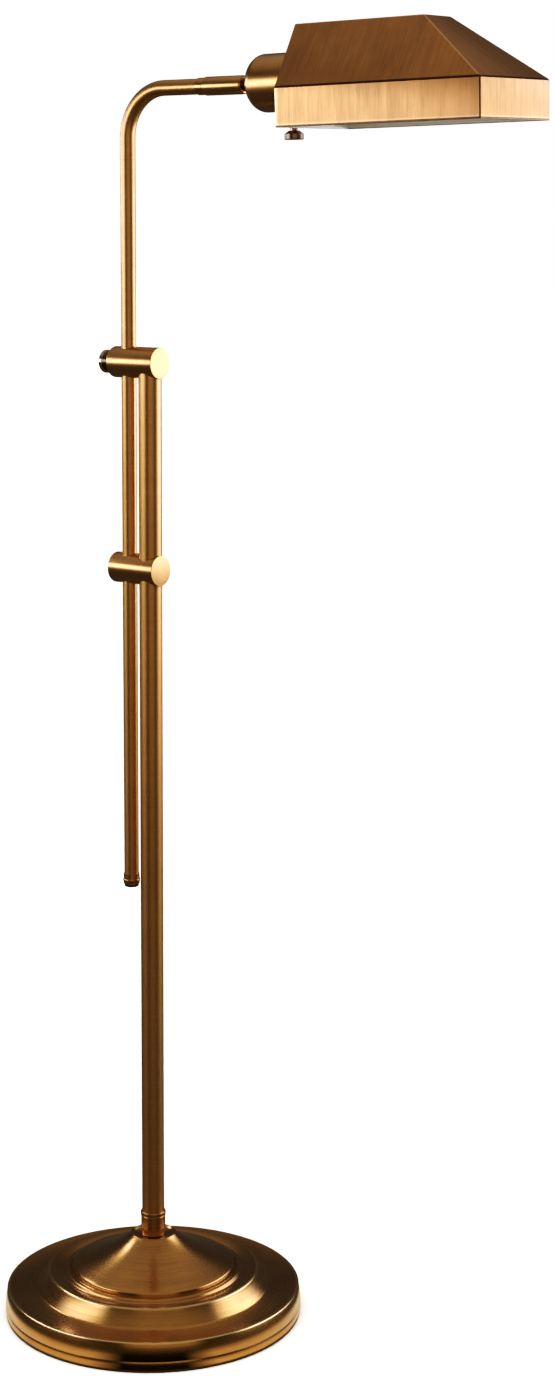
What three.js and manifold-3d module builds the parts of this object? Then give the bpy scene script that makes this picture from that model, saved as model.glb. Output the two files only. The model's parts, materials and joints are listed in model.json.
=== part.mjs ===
// Pharmacy floor lamp: a weighted stepped base, a main pole, and a bent arm tube that slides and turns
// through two cross barrels and carries a folded shade on a ball swivel.
// Units are millimetres, +Z is up and +X runs from the pole toward the shade. The origin is the centre
// of the base on the floor.

import * as THREE from 'three';
import { ConvexGeometry } from 'three/addons/geometries/ConvexGeometry.js';
import { mergeVertices } from 'three/addons/utils/BufferGeometryUtils.js';
import Module from 'manifold-3d';

const wasm = await Module();
wasm.setup();

// ---- Driving dimensions ----

// Running gap between neighbouring pieces, and the sides of a turned piece by its size.
const GAP = 0.3;
const SIDES_LARGE = 40;
const SIDES_MEDIUM = 28;
const SIDES = 24;
const SIDES_SMALL = 12;

// How far a cutting shape runs past the piece it opens, and the break on a small turned edge.
const OVERSHOOT = 2;
const EDGE_BREAK = 0.4;

// Base: spun shell over a cast weight.
const BASE_RADIUS = 134;
const BASE_FOOT_RADIUS = 132.8;
const BASE_CREASE_HEIGHT = 10.8;
const BASE_RIM_RADIUS = 131.9;
const BASE_RIM_HEIGHT = 27;
const STEP_FOOT_RADIUS = 105.3;
const STEP_TOP_RADIUS = 94.4;
const STEP_TOP_HEIGHT = 41.2;
const DOME_FOOT_RADIUS = 73.1;
const DOME_FOOT_HEIGHT = 45.8;
const DOME_TOP_RADIUS = 19.5;
const DOME_TOP_HEIGHT = 74.9;
const DISH_FLOOR_HEIGHT = 73.2;
const DISH_FLOOR_RADIUS = 17.1;
const ANNULUS_LOW_RADIUS = 118;
const ANNULUS_LOW_HEIGHT = 26.2;
const RING_BEAD_RADIUS = 77;
const RING_BEAD_HEIGHT = 41.2;
const RING_GROOVE_RADIUS = 80.8;
const RING_GROOVE_HEIGHT = 39.9;
const SHELL_WALL = 1.5;
const SHELL_LIFT = 0.6;
const FELT_RADIUS = 126;
const FELT_THICKNESS = 2;
const WEIGHT_RADIUS = 112;
const WEIGHT_TOP = 18;
const WEIGHT_POCKET_RADIUS = 14;
const WEIGHT_POCKET_TOP = 11.4;

// Tie that clamps base, collar and pole together.
const TIE_RADIUS = 4.85;
const TIE_BORE_RADIUS = 3.4;
const TIE_HOLE_RADIUS = 5.2;
const TIE_BOTTOM = 4;
const TIE_TOP = 98;
const TIE_NUT_FLATS = 16;
const TIE_NUT_THICKNESS = 5;
const TIE_WASHER_RADIUS = 12;
const TIE_WASHER_THICKNESS = 1.5;

// Collar and main pole.
const COLLAR_RADIUS = 10.9;
const COLLAR_BEAD_RADIUS = 11.35;
const COLLAR_BEAD_BOTTOM = 91.6;
const COLLAR_TOP = 95.3;
const COLLAR_SEAT = 82;
const POLE_RADIUS = 10;
const POLE_WALL = 1.2;
const POLE_BORE_RADIUS = 10.3;
const INSERT_LENGTH = 18;

// Cross barrels: each is bored for the pole and for the arm tube.
const BARREL_RADIUS = 13.4;
const BARREL_FRONT = 11.4;
const BARREL_REAR = -37.8;
const BARREL_CHAMFER = 0.5;
const UPPER_BARREL_HEIGHT = 855.5;
const LOWER_BARREL_HEIGHT = 678.1;
const POLE_SOCKET_ABOVE_CENTRE = 8;
const GRUB_RADIUS = 2.4;
const GRUB_LENGTH = 2.6;

// Arm tube: sliding upright, quarter bend and short level reach.
const ARM_AXIS_X = -23.4;
const ARM_RADIUS = 6.5;
const ARM_WALL = 1.1;
const ARM_GUIDE_RADIUS = 6.85;
const ARM_HEIGHT = 1082.9;
const ARM_BEND_RADIUS = 40;
const ARM_BEND_STEPS = 9;
const ARM_BOTTOM = 398;
const ARM_END_X = 81;
const BUSH_RADIUS = 7.5;
const BUSH_HALF_LENGTH = 10.8;

// Ferrule and cord gland that close the lower end of the arm tube.
const FERRULE_TOP = 405.5;
const FERRULE_RING_TOP = 400.6;
const FERRULE_RADIUS = 7.5;
const FERRULE_FOOT_RADIUS = 7.1;
const FERRULE_BOTTOM = 395.6;
const GLAND_BOTTOM = 393.3;
const GLAND_BORE_RADIUS = 3.1;
const GLAND_HOLE_RADIUS = 5.3;

// Clamp screw at the rear of the upper barrel.
const CLAMP_SCREW_RADIUS = 2.9;
const CLAMP_HOLE_RADIUS = 3.2;
const CLAMP_PAD_RADIUS = 2.7;
const CLAMP_PAD_FRONT = -30;
const CLAMP_PAD_REAR = -32.8;
const CLAMP_SCREW_REAR = -48.6;
const KNOB_FRONT = -39.4;
const KNOB_RIM_FRONT = -45.8;
const KNOB_REAR = -50;
const KNOB_BODY_RADIUS = 9.4;
const KNOB_RIM_RADIUS = 10;

// Ball swivel between arm and head.
const RING_START_X = 54.2;
const RING_END_X = 61.8;
const RING_RADIUS = 7.1;
const HOUSING_START_X = 62.1;
const HOUSING_END_X = 101.4;
const HOUSING_RADIUS = 7.7;
const HOUSING_BORE_RADIUS = 6.75;
const HOUSING_ROUND = 1.9;
const BALL_CENTRE_X = 97.6;
const BALL_RADIUS = 6.2;
const BALL_SEAT_RADIUS = 6.55;
const SEAT_OUTER_RADIUS = 6.4;
const SEAT_START_X = 85.6;
const SEAT_RIM_X = 94.4;
const SPRING_START_X = 81.6;
const SPRING_INNER_RADIUS = 3;
const STEM_NECK_RADIUS = 3.2;
const STEM_THREAD_RADIUS = 4.7;
const STEM_BORE_RADIUS = 2.2;

// Head: distances are measured from the ball centre along the head's own axis.
const HEAD_TILT = THREE.MathUtils.degToRad(-0.78);
const HEAD_ROLL = THREE.MathUtils.degToRad(1.33);
const STEM_NUT_START = 8.7;
const STEM_NUT_RADIUS = 6;
const CUP_POLE = 11.4;
const CUP_DOME_DEPTH = 15.6;
const CUP_RADIUS = 23.15;
const CUP_WALL = 1;
const CUP_NUT_START = 13.9;
const CUP_NUT_THICKNESS = 2.8;
const CUP_NUT_FLATS = 15;
const SOCKET_HUB_RADIUS = 9;
const SOCKET_HUB_START = 17;
const SOCKET_BODY_START = 24.5;
const SOCKET_BODY_END = 66;
const SOCKET_BODY_RADIUS = 19.5;
const SOCKET_NECK_RADIUS = 17.5;
const SOCKET_END = 80;
const SOCKET_FLOOR = 40;
const SOCKET_BORE_RADIUS = 14.3;
const SCREW_SHELL_RADIUS = 13.9;
const SCREW_SHELL_WALL = 0.5;
const SCREW_SHELL_END = 68;
const CONTACT_RADIUS = 4;
const CONTACT_THICKNESS = 1.4;

// Bulb: 60 mm pear shape on a 26 mm screw base.
const BULB_BASE_RADIUS = 13;
const BULB_BASE_START = 42.4;
const BULB_NECK_START = 68.3;
const BULB_NECK_RADIUS = 12.8;
const BULB_RADIUS = 30;
const BULB_CENTRE = 121;
const BULB_GLASS_WALL = 1;

// Turn-knob switch under the cup.
const SWITCH_X = 52.6;
const SWITCH_SHAFT_RADIUS = 1.4;
const SWITCH_SHAFT_TOP = -15.6;
const SWITCH_BUSH_RADIUS = 3.1;
const SWITCH_BUSH_TOP = -19.9;
const SWITCH_BUSH_BOTTOM = -33;
const SWITCH_NUT_RADIUS = 5;
const SWITCH_NUT_THICKNESS = 2;
const SWITCH_KNOB_TOP = -34;
const SWITCH_KNOB_CONE_TOP = -38.1;
const SWITCH_KNOB_CONE_BOTTOM = -40.3;
const SWITCH_KNOB_BOTTOM = -45.3;
const SWITCH_KNOB_RADIUS = 7.75;

// Shade: level skirt under a sloping roof with a flat ridge.
const SHADE_REAR = 71.5;
const SHADE_LENGTH = 189.2;
const SHADE_HALF_WIDTH = 49.6;
const SHADE_BOTTOM = -37.1;
const SHADE_FOLD = -6.2;
const SHADE_TOP = 43.2;
const SHADE_FRONT_RUN = 69.7;
const SHADE_TOP_HALF_WIDTH = 18.5;
const SHADE_REAR_LEAN = 2.1;
const SHADE_LEAN_AT_FOLD = 0.5;
const SHADE_WALL = 1.2;

// How far each edge of the roof moves for every millimetre its sloping faces move inward.
const ROOF_FRONT_SHIFT = 0.32;
const ROOF_SIDE_SHIFT = 0.55;
const FOLD_SHIFT = 0.4;

// Opening in the shade's rear panel and the ring that holds it to the cup.
const SHADE_HOLE_RADIUS = 18.1;
const SHADE_RING_START = 73;
const SHADE_RING_THICKNESS = 3.4;
const SHADE_RING_RADIUS = 23;
const SHADE_RING_BORE_RADIUS = 17.8;

// ---- Materials ----

function finish(color, roughness, metalness) {
  return new THREE.MeshStandardMaterial({ color, roughness, metalness });
}

const antiqueBrass = finish(0x8a5f33, 0.34, 1);
const darkBronze = finish(0x2b1d14, 0.4, 1);
const plainBrass = finish(0xc9a35a, 0.35, 1);
const castIron = finish(0x3b3b3d, 0.8, 0.6);
const zincSteel = finish(0xb9bcc0, 0.4, 1);
const felt = finish(0x1d2a22, 0.95, 0);
const nylon = finish(0xe6e0d2, 0.6, 0);
const phenolic = finish(0x1c1a19, 0.55, 0);
const rubber = finish(0x121212, 0.8, 0);
const opalGlass = finish(0xf4f2ec, 0.3, 0);

// ---- Shape helpers ----

// A closed [radius, height] profile, listed anticlockwise, turned about +Z.
function turned(profile, sides = SIDES) {
  const points = profile.map(([radius, height]) => new THREE.Vector2(radius, height));
  if (points[0].x > 0) points.push(points[0].clone());
  const geometry = new THREE.LatheGeometry(points, sides);
  geometry.rotateX(Math.PI / 2);
  return geometry;
}

// The same profile turned about +X, with its heights along X.
function turnedAlongX(profile, sides = SIDES) {
  const geometry = turned(profile, sides);
  geometry.rotateY(Math.PI / 2);
  return geometry;
}

// A round stretch of a profile: part of an ellipse, from one angle to another in degrees.
function arc(radius, height, across, along, from, to, steps) {
  const toRad = THREE.MathUtils.degToRad;
  const curve = new THREE.EllipseCurve(
    radius, height, across, along, toRad(from), toRad(to), to < from);
  return curve.getPoints(steps).map((point) => [point.x, point.y]);
}

// A soft stretch of a profile that leaves one point and reaches another by way of a pull point.
function sweep(from, pull, to, steps) {
  const corners = [from, pull, to].map(([radius, height]) => new THREE.Vector2(radius, height));
  return new THREE.QuadraticBezierCurve(...corners).getPoints(steps).map((point) => [point.x, point.y]);
}

function rodProfile(radius, low, high) {
  return [[0, low], [radius, low], [radius, high], [0, high]];
}

function sleeveProfile(bore, radius, low, high) {
  return [[bore, low], [radius, low], [radius, high], [bore, high]];
}

// A hexagonal nut about +Z with its lower face at zero.
function hexNut(flats, bore, thickness) {
  const outline = new THREE.Shape();
  const corner = flats / Math.sqrt(3);
  for (let side = 0; side < 6; side += 1) {
    const angle = (side * Math.PI) / 3;
    const method = side === 0 ? 'moveTo' : 'lineTo';
    outline[method](corner * Math.cos(angle), corner * Math.sin(angle));
  }
  outline.closePath();
  outline.holes.push(new THREE.Path().absarc(0, 0, bore, 0, Math.PI * 2, true));
  return new THREE.ExtrudeGeometry(outline, {
    depth: thickness, bevelEnabled: false, curveSegments: SIDES_SMALL / 2,
  });
}

// A geometry as a manifold solid: only welded positions and faces with three different corners.
function solidOf(geometry) {
  const bare = geometry.clone();
  bare.deleteAttribute('normal');
  bare.deleteAttribute('uv');
  const welded = mergeVertices(bare);
  const corners = welded.index.array;
  const faces = [];
  for (let i = 0; i < corners.length; i += 3) {
    const [a, b, c] = corners.slice(i, i + 3);
    if (a !== b && b !== c && c !== a) faces.push(a, b, c);
  }
  return new wasm.Manifold(new wasm.Mesh({
    numProp: 3,
    vertProperties: welded.attributes.position.array,
    triVerts: Uint32Array.from(faces),
  }));
}

// The body with every tool cut away from it.
function cut(body, ...tools) {
  const rest = tools.reduce((left, tool) => left.subtract(solidOf(tool)), solidOf(body));
  const mesh = rest.getMesh();
  const geometry = new THREE.BufferGeometry();
  geometry.setAttribute('position', new THREE.BufferAttribute(mesh.vertProperties, 3));
  geometry.setIndex(new THREE.BufferAttribute(mesh.triVerts, 1));
  return geometry;
}

// A cylinder to cut with, standing on +Z at the given place.
function uprightCutter(radius, x, y, low, high) {
  return turned(rodProfile(radius, low, high)).translate(x, y, 0);
}

function piece(parent, name, geometry, material, x = 0, y = 0, z = 0) {
  const mesh = new THREE.Mesh(geometry, material);
  mesh.name = name;
  mesh.position.set(x, y, z);
  parent.add(mesh);
}

// ---- Base ----

// The shell's outside, from the tie hole outward and down to the foot.
function shellOutside() {
  return [
    [TIE_HOLE_RADIUS, DISH_FLOOR_HEIGHT],
    [DISH_FLOOR_RADIUS, DISH_FLOOR_HEIGHT],
    [DOME_TOP_RADIUS - 0.7, DOME_TOP_HEIGHT],
    ...sweep([DOME_TOP_RADIUS, DOME_TOP_HEIGHT], [33, 60.5], [69.6, 47.9], 5),
    ...sweep([72, 47], [DOME_FOOT_RADIUS, 46.4], [DOME_FOOT_RADIUS, DOME_FOOT_HEIGHT - 0.8], 2),
    [DOME_FOOT_RADIUS + 0.4, 42.2],
    ...arc(RING_BEAD_RADIUS, RING_BEAD_HEIGHT, 2.6, 1.9, 150, 20, 3),
    [RING_GROOVE_RADIUS, RING_GROOVE_HEIGHT],
    [RING_GROOVE_RADIUS + 1.6, RING_GROOVE_HEIGHT + 0.7],
    ...sweep([STEP_TOP_RADIUS - 2.6, 41.9], [STEP_TOP_RADIUS - 0.4, 42], [STEP_TOP_RADIUS + 0.2, 40.4], 2),
    ...sweep([97.6, 34], [100.6, 29.4], [STEP_FOOT_RADIUS, 28.2], 3),
    [ANNULUS_LOW_RADIUS, ANNULUS_LOW_HEIGHT],
    [BASE_RIM_RADIUS - 1.4, BASE_RIM_HEIGHT],
    [BASE_RIM_RADIUS, BASE_RIM_HEIGHT - 0.9],
    [BASE_RADIUS, BASE_CREASE_HEIGHT],
    [BASE_RADIUS - 0.6, BASE_CREASE_HEIGHT - 0.7],
    ...sweep([BASE_RADIUS - 0.2, 8.4], [BASE_RADIUS - 0.1, 4], [BASE_FOOT_RADIUS, SHELL_LIFT], 2),
  ];
}

// The shell's plainer inside, from the foot up to the tie hole.
function shellInside() {
  return [
    [BASE_FOOT_RADIUS - SHELL_WALL, SHELL_LIFT],
    [BASE_RADIUS - SHELL_WALL - 0.4, BASE_CREASE_HEIGHT],
    [BASE_RIM_RADIUS - SHELL_WALL, BASE_RIM_HEIGHT - SHELL_WALL - 0.5],
    [ANNULUS_LOW_RADIUS, ANNULUS_LOW_HEIGHT - SHELL_WALL],
    [STEP_FOOT_RADIUS - 1.2, 26.4],
    [STEP_TOP_RADIUS - 1.6, STEP_TOP_HEIGHT - 1.8],
    [DOME_FOOT_RADIUS - 0.6, 38.2],
    [DOME_FOOT_RADIUS - 1.6, 44.6],
    ...sweep([69, 46.2], [32.4, 58.6], [DOME_TOP_RADIUS - 1.5, 71.4], 4),
    [TIE_HOLE_RADIUS, 71.6],
  ];
}

function baseShell() {
  return turned([...shellOutside().reverse(), ...shellInside().reverse()], SIDES_LARGE);
}

function weightProfile() {
  const bottom = FELT_THICKNESS + GAP;
  return [
    [WEIGHT_POCKET_RADIUS, bottom],
    [WEIGHT_RADIUS, bottom],
    [WEIGHT_RADIUS, WEIGHT_TOP - 2],
    [WEIGHT_RADIUS - 2, WEIGHT_TOP],
    [TIE_HOLE_RADIUS, WEIGHT_TOP],
    [TIE_HOLE_RADIUS, WEIGHT_POCKET_TOP],
    [WEIGHT_POCKET_RADIUS, WEIGHT_POCKET_TOP],
  ];
}

function collarProfile() {
  return [
    [TIE_HOLE_RADIUS, DISH_FLOOR_HEIGHT + GAP],
    [COLLAR_RADIUS, DISH_FLOOR_HEIGHT + GAP],
    [COLLAR_RADIUS, COLLAR_BEAD_BOTTOM - EDGE_BREAK],
    [COLLAR_BEAD_RADIUS, COLLAR_BEAD_BOTTOM],
    [COLLAR_BEAD_RADIUS, COLLAR_TOP - 0.8],
    [COLLAR_BEAD_RADIUS - 0.6, COLLAR_TOP],
    [POLE_BORE_RADIUS, COLLAR_TOP],
    [POLE_BORE_RADIUS, COLLAR_SEAT],
    [TIE_HOLE_RADIUS, COLLAR_SEAT],
  ];
}

function addBase(parent) {
  const washerTop = WEIGHT_POCKET_TOP - GAP;
  const washerBottom = washerTop - TIE_WASHER_THICKNESS;
  const nut = hexNut(TIE_NUT_FLATS, TIE_HOLE_RADIUS, TIE_NUT_THICKNESS);
  const poleBottom = COLLAR_SEAT + GAP;
  const poleTop = UPPER_BARREL_HEIGHT + POLE_SOCKET_ABOVE_CENTRE - GAP;
  const tie = sleeveProfile(TIE_BORE_RADIUS, TIE_RADIUS, TIE_BOTTOM, TIE_TOP);
  const insert = sleeveProfile(
    TIE_HOLE_RADIUS, POLE_RADIUS - POLE_WALL - GAP, poleBottom, poleBottom + INSERT_LENGTH);
  piece(parent, 'base_felt', turned(rodProfile(FELT_RADIUS, 0, FELT_THICKNESS), SIDES_LARGE), felt);
  piece(parent, 'base_weight', turned(weightProfile(), SIDES_LARGE), castIron);
  piece(parent, 'base_shell', baseShell(), antiqueBrass);
  piece(parent, 'tie_nut', nut, zincSteel, 0, 0, washerBottom - GAP - TIE_NUT_THICKNESS);
  piece(parent, 'tie_washer', turned(
    sleeveProfile(TIE_HOLE_RADIUS, TIE_WASHER_RADIUS, washerBottom, washerTop)), zincSteel);
  piece(parent, 'tie_tube', turned(tie, SIDES_SMALL), zincSteel);
  piece(parent, 'pole_collar', turned(collarProfile()), antiqueBrass);
  piece(parent, 'pole_insert', turned(insert), plainBrass);
  piece(parent, 'main_pole', turned(
    sleeveProfile(POLE_RADIUS - POLE_WALL, POLE_RADIUS, poleBottom, poleTop)), antiqueBrass);
}

// ---- Cross barrels ----

function barrelBlank() {
  const chamfer = BARREL_CHAMFER;
  return turnedAlongX([
    [0, BARREL_REAR],
    [BARREL_RADIUS - chamfer, BARREL_REAR],
    [BARREL_RADIUS, BARREL_REAR + chamfer],
    [BARREL_RADIUS, BARREL_FRONT - chamfer],
    [BARREL_RADIUS - chamfer, BARREL_FRONT],
    [0, BARREL_FRONT],
  ], SIDES_MEDIUM);
}

// A hole for the grub screw that fixes the barrel to the pole, from the side facing +Y.
function grubCutter() {
  return turned(rodProfile(GRUB_RADIUS + GAP, 0, BARREL_RADIUS * 2), SIDES_SMALL).rotateX(-Math.PI / 2);
}

function lowerBarrel() {
  const reach = BARREL_RADIUS * 2;
  return cut(
    barrelBlank(),
    uprightCutter(POLE_BORE_RADIUS, 0, 0, -reach, reach),
    uprightCutter(BUSH_RADIUS + GAP, ARM_AXIS_X, 0, -reach, reach),
    grubCutter(),
  );
}

function upperBarrel() {
  const reach = BARREL_RADIUS * 2;
  const clampHole = rodProfile(CLAMP_HOLE_RADIUS, BARREL_REAR - OVERSHOOT, ARM_AXIS_X);
  return cut(
    barrelBlank(),
    uprightCutter(POLE_BORE_RADIUS, 0, 0, -reach, POLE_SOCKET_ABOVE_CENTRE),
    uprightCutter(ARM_GUIDE_RADIUS, ARM_AXIS_X, 0, -reach, reach),
    turnedAlongX(clampHole, SIDES_SMALL),
    grubCutter(),
  );
}

function addBarrels(parent) {
  const grub = turned(rodProfile(GRUB_RADIUS, 0, GRUB_LENGTH), SIDES_SMALL).rotateX(-Math.PI / 2);
  const bush = sleeveProfile(ARM_GUIDE_RADIUS, BUSH_RADIUS, -BUSH_HALF_LENGTH, BUSH_HALF_LENGTH);
  const grubStart = POLE_RADIUS + GAP;
  piece(parent, 'lower_barrel', lowerBarrel(), antiqueBrass, 0, 0, LOWER_BARREL_HEIGHT);
  piece(parent, 'upper_barrel', upperBarrel(), antiqueBrass, 0, 0, UPPER_BARREL_HEIGHT);
  piece(parent, 'lower_grub_screw', grub, zincSteel, 0, grubStart, LOWER_BARREL_HEIGHT);
  piece(parent, 'upper_grub_screw', grub.clone(), zincSteel, 0, grubStart, UPPER_BARREL_HEIGHT);
  piece(parent, 'guide_bush', turned(bush), nylon, ARM_AXIS_X, 0, LOWER_BARREL_HEIGHT);
}

// ---- Clamp ----

function knobProfile() {
  return [
    [CLAMP_SCREW_RADIUS + GAP, KNOB_REAR + 1.6],
    [CLAMP_SCREW_RADIUS + GAP + 1.4, KNOB_REAR],
    [KNOB_RIM_RADIUS - 0.9, KNOB_REAR],
    [KNOB_RIM_RADIUS, KNOB_REAR + 0.9],
    [KNOB_RIM_RADIUS, KNOB_RIM_FRONT - EDGE_BREAK],
    [KNOB_BODY_RADIUS, KNOB_RIM_FRONT],
    [KNOB_BODY_RADIUS, KNOB_FRONT - 0.8],
    [KNOB_BODY_RADIUS - 0.8, KNOB_FRONT],
    [CLAMP_SCREW_RADIUS + GAP, KNOB_FRONT],
  ];
}

function addClamp(parent) {
  const pad = rodProfile(CLAMP_PAD_RADIUS, CLAMP_PAD_REAR, CLAMP_PAD_FRONT);
  const screw = rodProfile(CLAMP_SCREW_RADIUS, CLAMP_SCREW_REAR, CLAMP_PAD_REAR - GAP);
  piece(parent, 'clamp_pad', turnedAlongX(pad, SIDES_SMALL), nylon, 0, 0, UPPER_BARREL_HEIGHT);
  piece(parent, 'clamp_screw', turnedAlongX(screw, SIDES_SMALL), zincSteel, 0, 0, UPPER_BARREL_HEIGHT);
  piece(parent, 'clamp_knob', turnedAlongX(knobProfile()), darkBronze, 0, 0, UPPER_BARREL_HEIGHT);
}

// ---- Arm ----

// Route of the arm tube: straight up, a quarter bend in equal steps, then level. Each step is one
// equal share of the route's parameter, so the straights take a single step.
class ArmRoute extends THREE.Curve {
  constructor(steps) {
    super();
    this.points = [new THREE.Vector3(ARM_AXIS_X, 0, ARM_BOTTOM)];
    for (let step = 0; step <= steps; step += 1) {
      const angle = (Math.PI / 2) * (step / steps);
      const x = ARM_AXIS_X + ARM_BEND_RADIUS * (1 - Math.cos(angle));
      const z = ARM_HEIGHT - ARM_BEND_RADIUS * (1 - Math.sin(angle));
      this.points.push(new THREE.Vector3(x, 0, z));
    }
    this.points.push(new THREE.Vector3(ARM_END_X, 0, ARM_HEIGHT));
    this.bendSteps = steps;
  }

  getPoint(t) {
    const place = THREE.MathUtils.clamp(t, 0, 1) * (this.points.length - 1);
    const index = Math.min(Math.floor(place), this.points.length - 2);
    return this.points[index].clone().lerp(this.points[index + 1], place - index);
  }

  getTangent(t) {
    const share = (t * (this.points.length - 1) - 1) / this.bendSteps;
    const angle = (Math.PI / 2) * THREE.MathUtils.clamp(share, 0, 1);
    return new THREE.Vector3(Math.sin(angle), 0, Math.cos(angle));
  }

  getUtoTmapping(u) {
    return u;
  }
}

function armTube() {
  const section = new THREE.Shape().absarc(0, 0, ARM_RADIUS, 0, Math.PI * 2, false);
  section.holes.push(new THREE.Path().absarc(0, 0, ARM_RADIUS - ARM_WALL, 0, Math.PI * 2, true));
  const route = new ArmRoute(ARM_BEND_STEPS);
  return new THREE.ExtrudeGeometry(section, {
    steps: route.points.length - 1, extrudePath: route, curveSegments: SIDES / 2,
  });
}

// The ferrule slips over the tube's end, with a flared ring and a foot that holds the gland.
function ferruleProfile() {
  const bore = ARM_RADIUS + GAP;
  return [
    [GLAND_HOLE_RADIUS, FERRULE_BOTTOM],
    [FERRULE_FOOT_RADIUS - 0.5, FERRULE_BOTTOM],
    [FERRULE_FOOT_RADIUS, FERRULE_BOTTOM + 0.8],
    [FERRULE_RADIUS, FERRULE_RING_TOP - 1.6],
    [FERRULE_RADIUS, FERRULE_RING_TOP - EDGE_BREAK],
    [FERRULE_RADIUS - 0.35, FERRULE_RING_TOP],
    [bore + 0.15, FERRULE_TOP],
    [bore, FERRULE_TOP],
    [bore, ARM_BOTTOM - GAP],
    [GLAND_HOLE_RADIUS, ARM_BOTTOM - GAP],
  ];
}

// Rubber gland: a rounded lip under the ferrule and a plug that fills its hole.
function glandProfile() {
  const plug = GLAND_HOLE_RADIUS - GAP;
  const lip = FERRULE_FOOT_RADIUS - 0.6;
  return [
    [GLAND_BORE_RADIUS, GLAND_BOTTOM],
    ...sweep([lip - 1.8, GLAND_BOTTOM], [lip, GLAND_BOTTOM], [lip, FERRULE_BOTTOM - GAP], 3),
    [plug, FERRULE_BOTTOM - GAP],
    [plug, ARM_BOTTOM - GAP],
    [GLAND_BORE_RADIUS, ARM_BOTTOM - GAP],
  ];
}

function housingProfile() {
  const end = HOUSING_END_X;
  const bore = HOUSING_BORE_RADIUS;
  const lipAngle = THREE.MathUtils.radToDeg(Math.asin((end - BALL_CENTRE_X) / BALL_SEAT_RADIUS));
  return [
    [bore, HOUSING_START_X],
    [HOUSING_RADIUS - EDGE_BREAK, HOUSING_START_X],
    [HOUSING_RADIUS, HOUSING_START_X + EDGE_BREAK],
    ...arc(HOUSING_RADIUS - HOUSING_ROUND, end - HOUSING_ROUND, HOUSING_ROUND, HOUSING_ROUND, 0, 90, 4),
    ...arc(0, BALL_CENTRE_X, BALL_SEAT_RADIUS, BALL_SEAT_RADIUS, lipAngle, 0, 4),
    [bore, BALL_CENTRE_X - 0.5],
  ];
}

function ballSeatProfile() {
  const radius = BALL_SEAT_RADIUS - 0.05;
  const rim = THREE.MathUtils.radToDeg(Math.asin((SEAT_RIM_X - BALL_CENTRE_X) / radius));
  const hole = THREE.MathUtils.radToDeg(-Math.acos(STEM_BORE_RADIUS / radius));
  return [
    [STEM_BORE_RADIUS, SEAT_START_X],
    [SEAT_OUTER_RADIUS, SEAT_START_X],
    [SEAT_OUTER_RADIUS, SEAT_RIM_X],
    ...arc(0, BALL_CENTRE_X, radius, radius, rim, hole, 5),
  ];
}

function addArm(parent) {
  const ring = [
    [ARM_RADIUS + GAP - 0.05, RING_START_X],
    [RING_RADIUS - EDGE_BREAK, RING_START_X],
    [RING_RADIUS, RING_START_X + EDGE_BREAK],
    [RING_RADIUS, RING_END_X],
    [ARM_RADIUS + GAP - 0.05, RING_END_X],
  ];
  const spring = sleeveProfile(SPRING_INNER_RADIUS, SEAT_OUTER_RADIUS, SPRING_START_X, SEAT_START_X - GAP);
  piece(parent, 'arm_tube', armTube(), antiqueBrass);
  piece(parent, 'arm_ferrule', turned(ferruleProfile()), antiqueBrass, ARM_AXIS_X);
  piece(parent, 'cord_gland', turned(glandProfile(), SIDES_SMALL), rubber, ARM_AXIS_X);
  piece(parent, 'arm_ring', turnedAlongX(ring), antiqueBrass, 0, 0, ARM_HEIGHT);
  piece(parent, 'swivel_housing', turnedAlongX(housingProfile()), antiqueBrass, 0, 0, ARM_HEIGHT);
  piece(parent, 'swivel_spring', turnedAlongX(spring), zincSteel, 0, 0, ARM_HEIGHT);
  piece(parent, 'swivel_seat', turnedAlongX(ballSeatProfile()), nylon, 0, 0, ARM_HEIGHT);
}

// ---- Head ----

// Ball, neck and threaded stem in one turned piece, bored for the wires.
function ballProfile() {
  const neck = THREE.MathUtils.radToDeg(Math.acos(STEM_NECK_RADIUS / BALL_RADIUS));
  const bore = THREE.MathUtils.radToDeg(-Math.acos(STEM_BORE_RADIUS / BALL_RADIUS));
  return [
    ...arc(0, 0, BALL_RADIUS, BALL_RADIUS, bore, neck, 8),
    [STEM_NECK_RADIUS, STEM_NUT_START - 0.6],
    [STEM_THREAD_RADIUS, STEM_NUT_START - 0.3],
    [STEM_THREAD_RADIUS, SOCKET_BODY_START - 1],
    [STEM_BORE_RADIUS, SOCKET_BODY_START - 1],
  ];
}

function stemNutProfile() {
  const bore = STEM_THREAD_RADIUS + GAP;
  const end = CUP_POLE - GAP;
  return [
    [bore, STEM_NUT_START],
    [STEM_NUT_RADIUS - EDGE_BREAK, STEM_NUT_START],
    [STEM_NUT_RADIUS, STEM_NUT_START + EDGE_BREAK],
    [STEM_NUT_RADIUS, end],
    [bore, end],
  ];
}

// The cup's half outline: a shallow domed rear that runs into a straight cylinder.
function cupDome(radius, depth, hole) {
  const start = THREE.MathUtils.radToDeg(-Math.acos(hole / radius));
  return arc(0, CUP_POLE + CUP_DOME_DEPTH, radius, depth, start, 0, 6);
}

function socketCup() {
  const hole = STEM_THREAD_RADIUS + GAP;
  const end = SHADE_REAR + OVERSHOOT;
  const outside = cupDome(CUP_RADIUS, CUP_DOME_DEPTH, hole);
  const inside = cupDome(CUP_RADIUS - CUP_WALL, CUP_DOME_DEPTH - CUP_WALL, hole).reverse();
  const open = [[CUP_RADIUS, end], [CUP_RADIUS - CUP_WALL, end]];
  const shell = turnedAlongX([...outside, ...open, ...inside], SIDES_MEDIUM);
  const bushHole = uprightCutter(SWITCH_BUSH_RADIUS + GAP, SWITCH_X, 0, -CUP_RADIUS - OVERSHOOT, 0);
  return cut(shell, bushHole, shadeBlock(-GAP));
}

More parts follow.
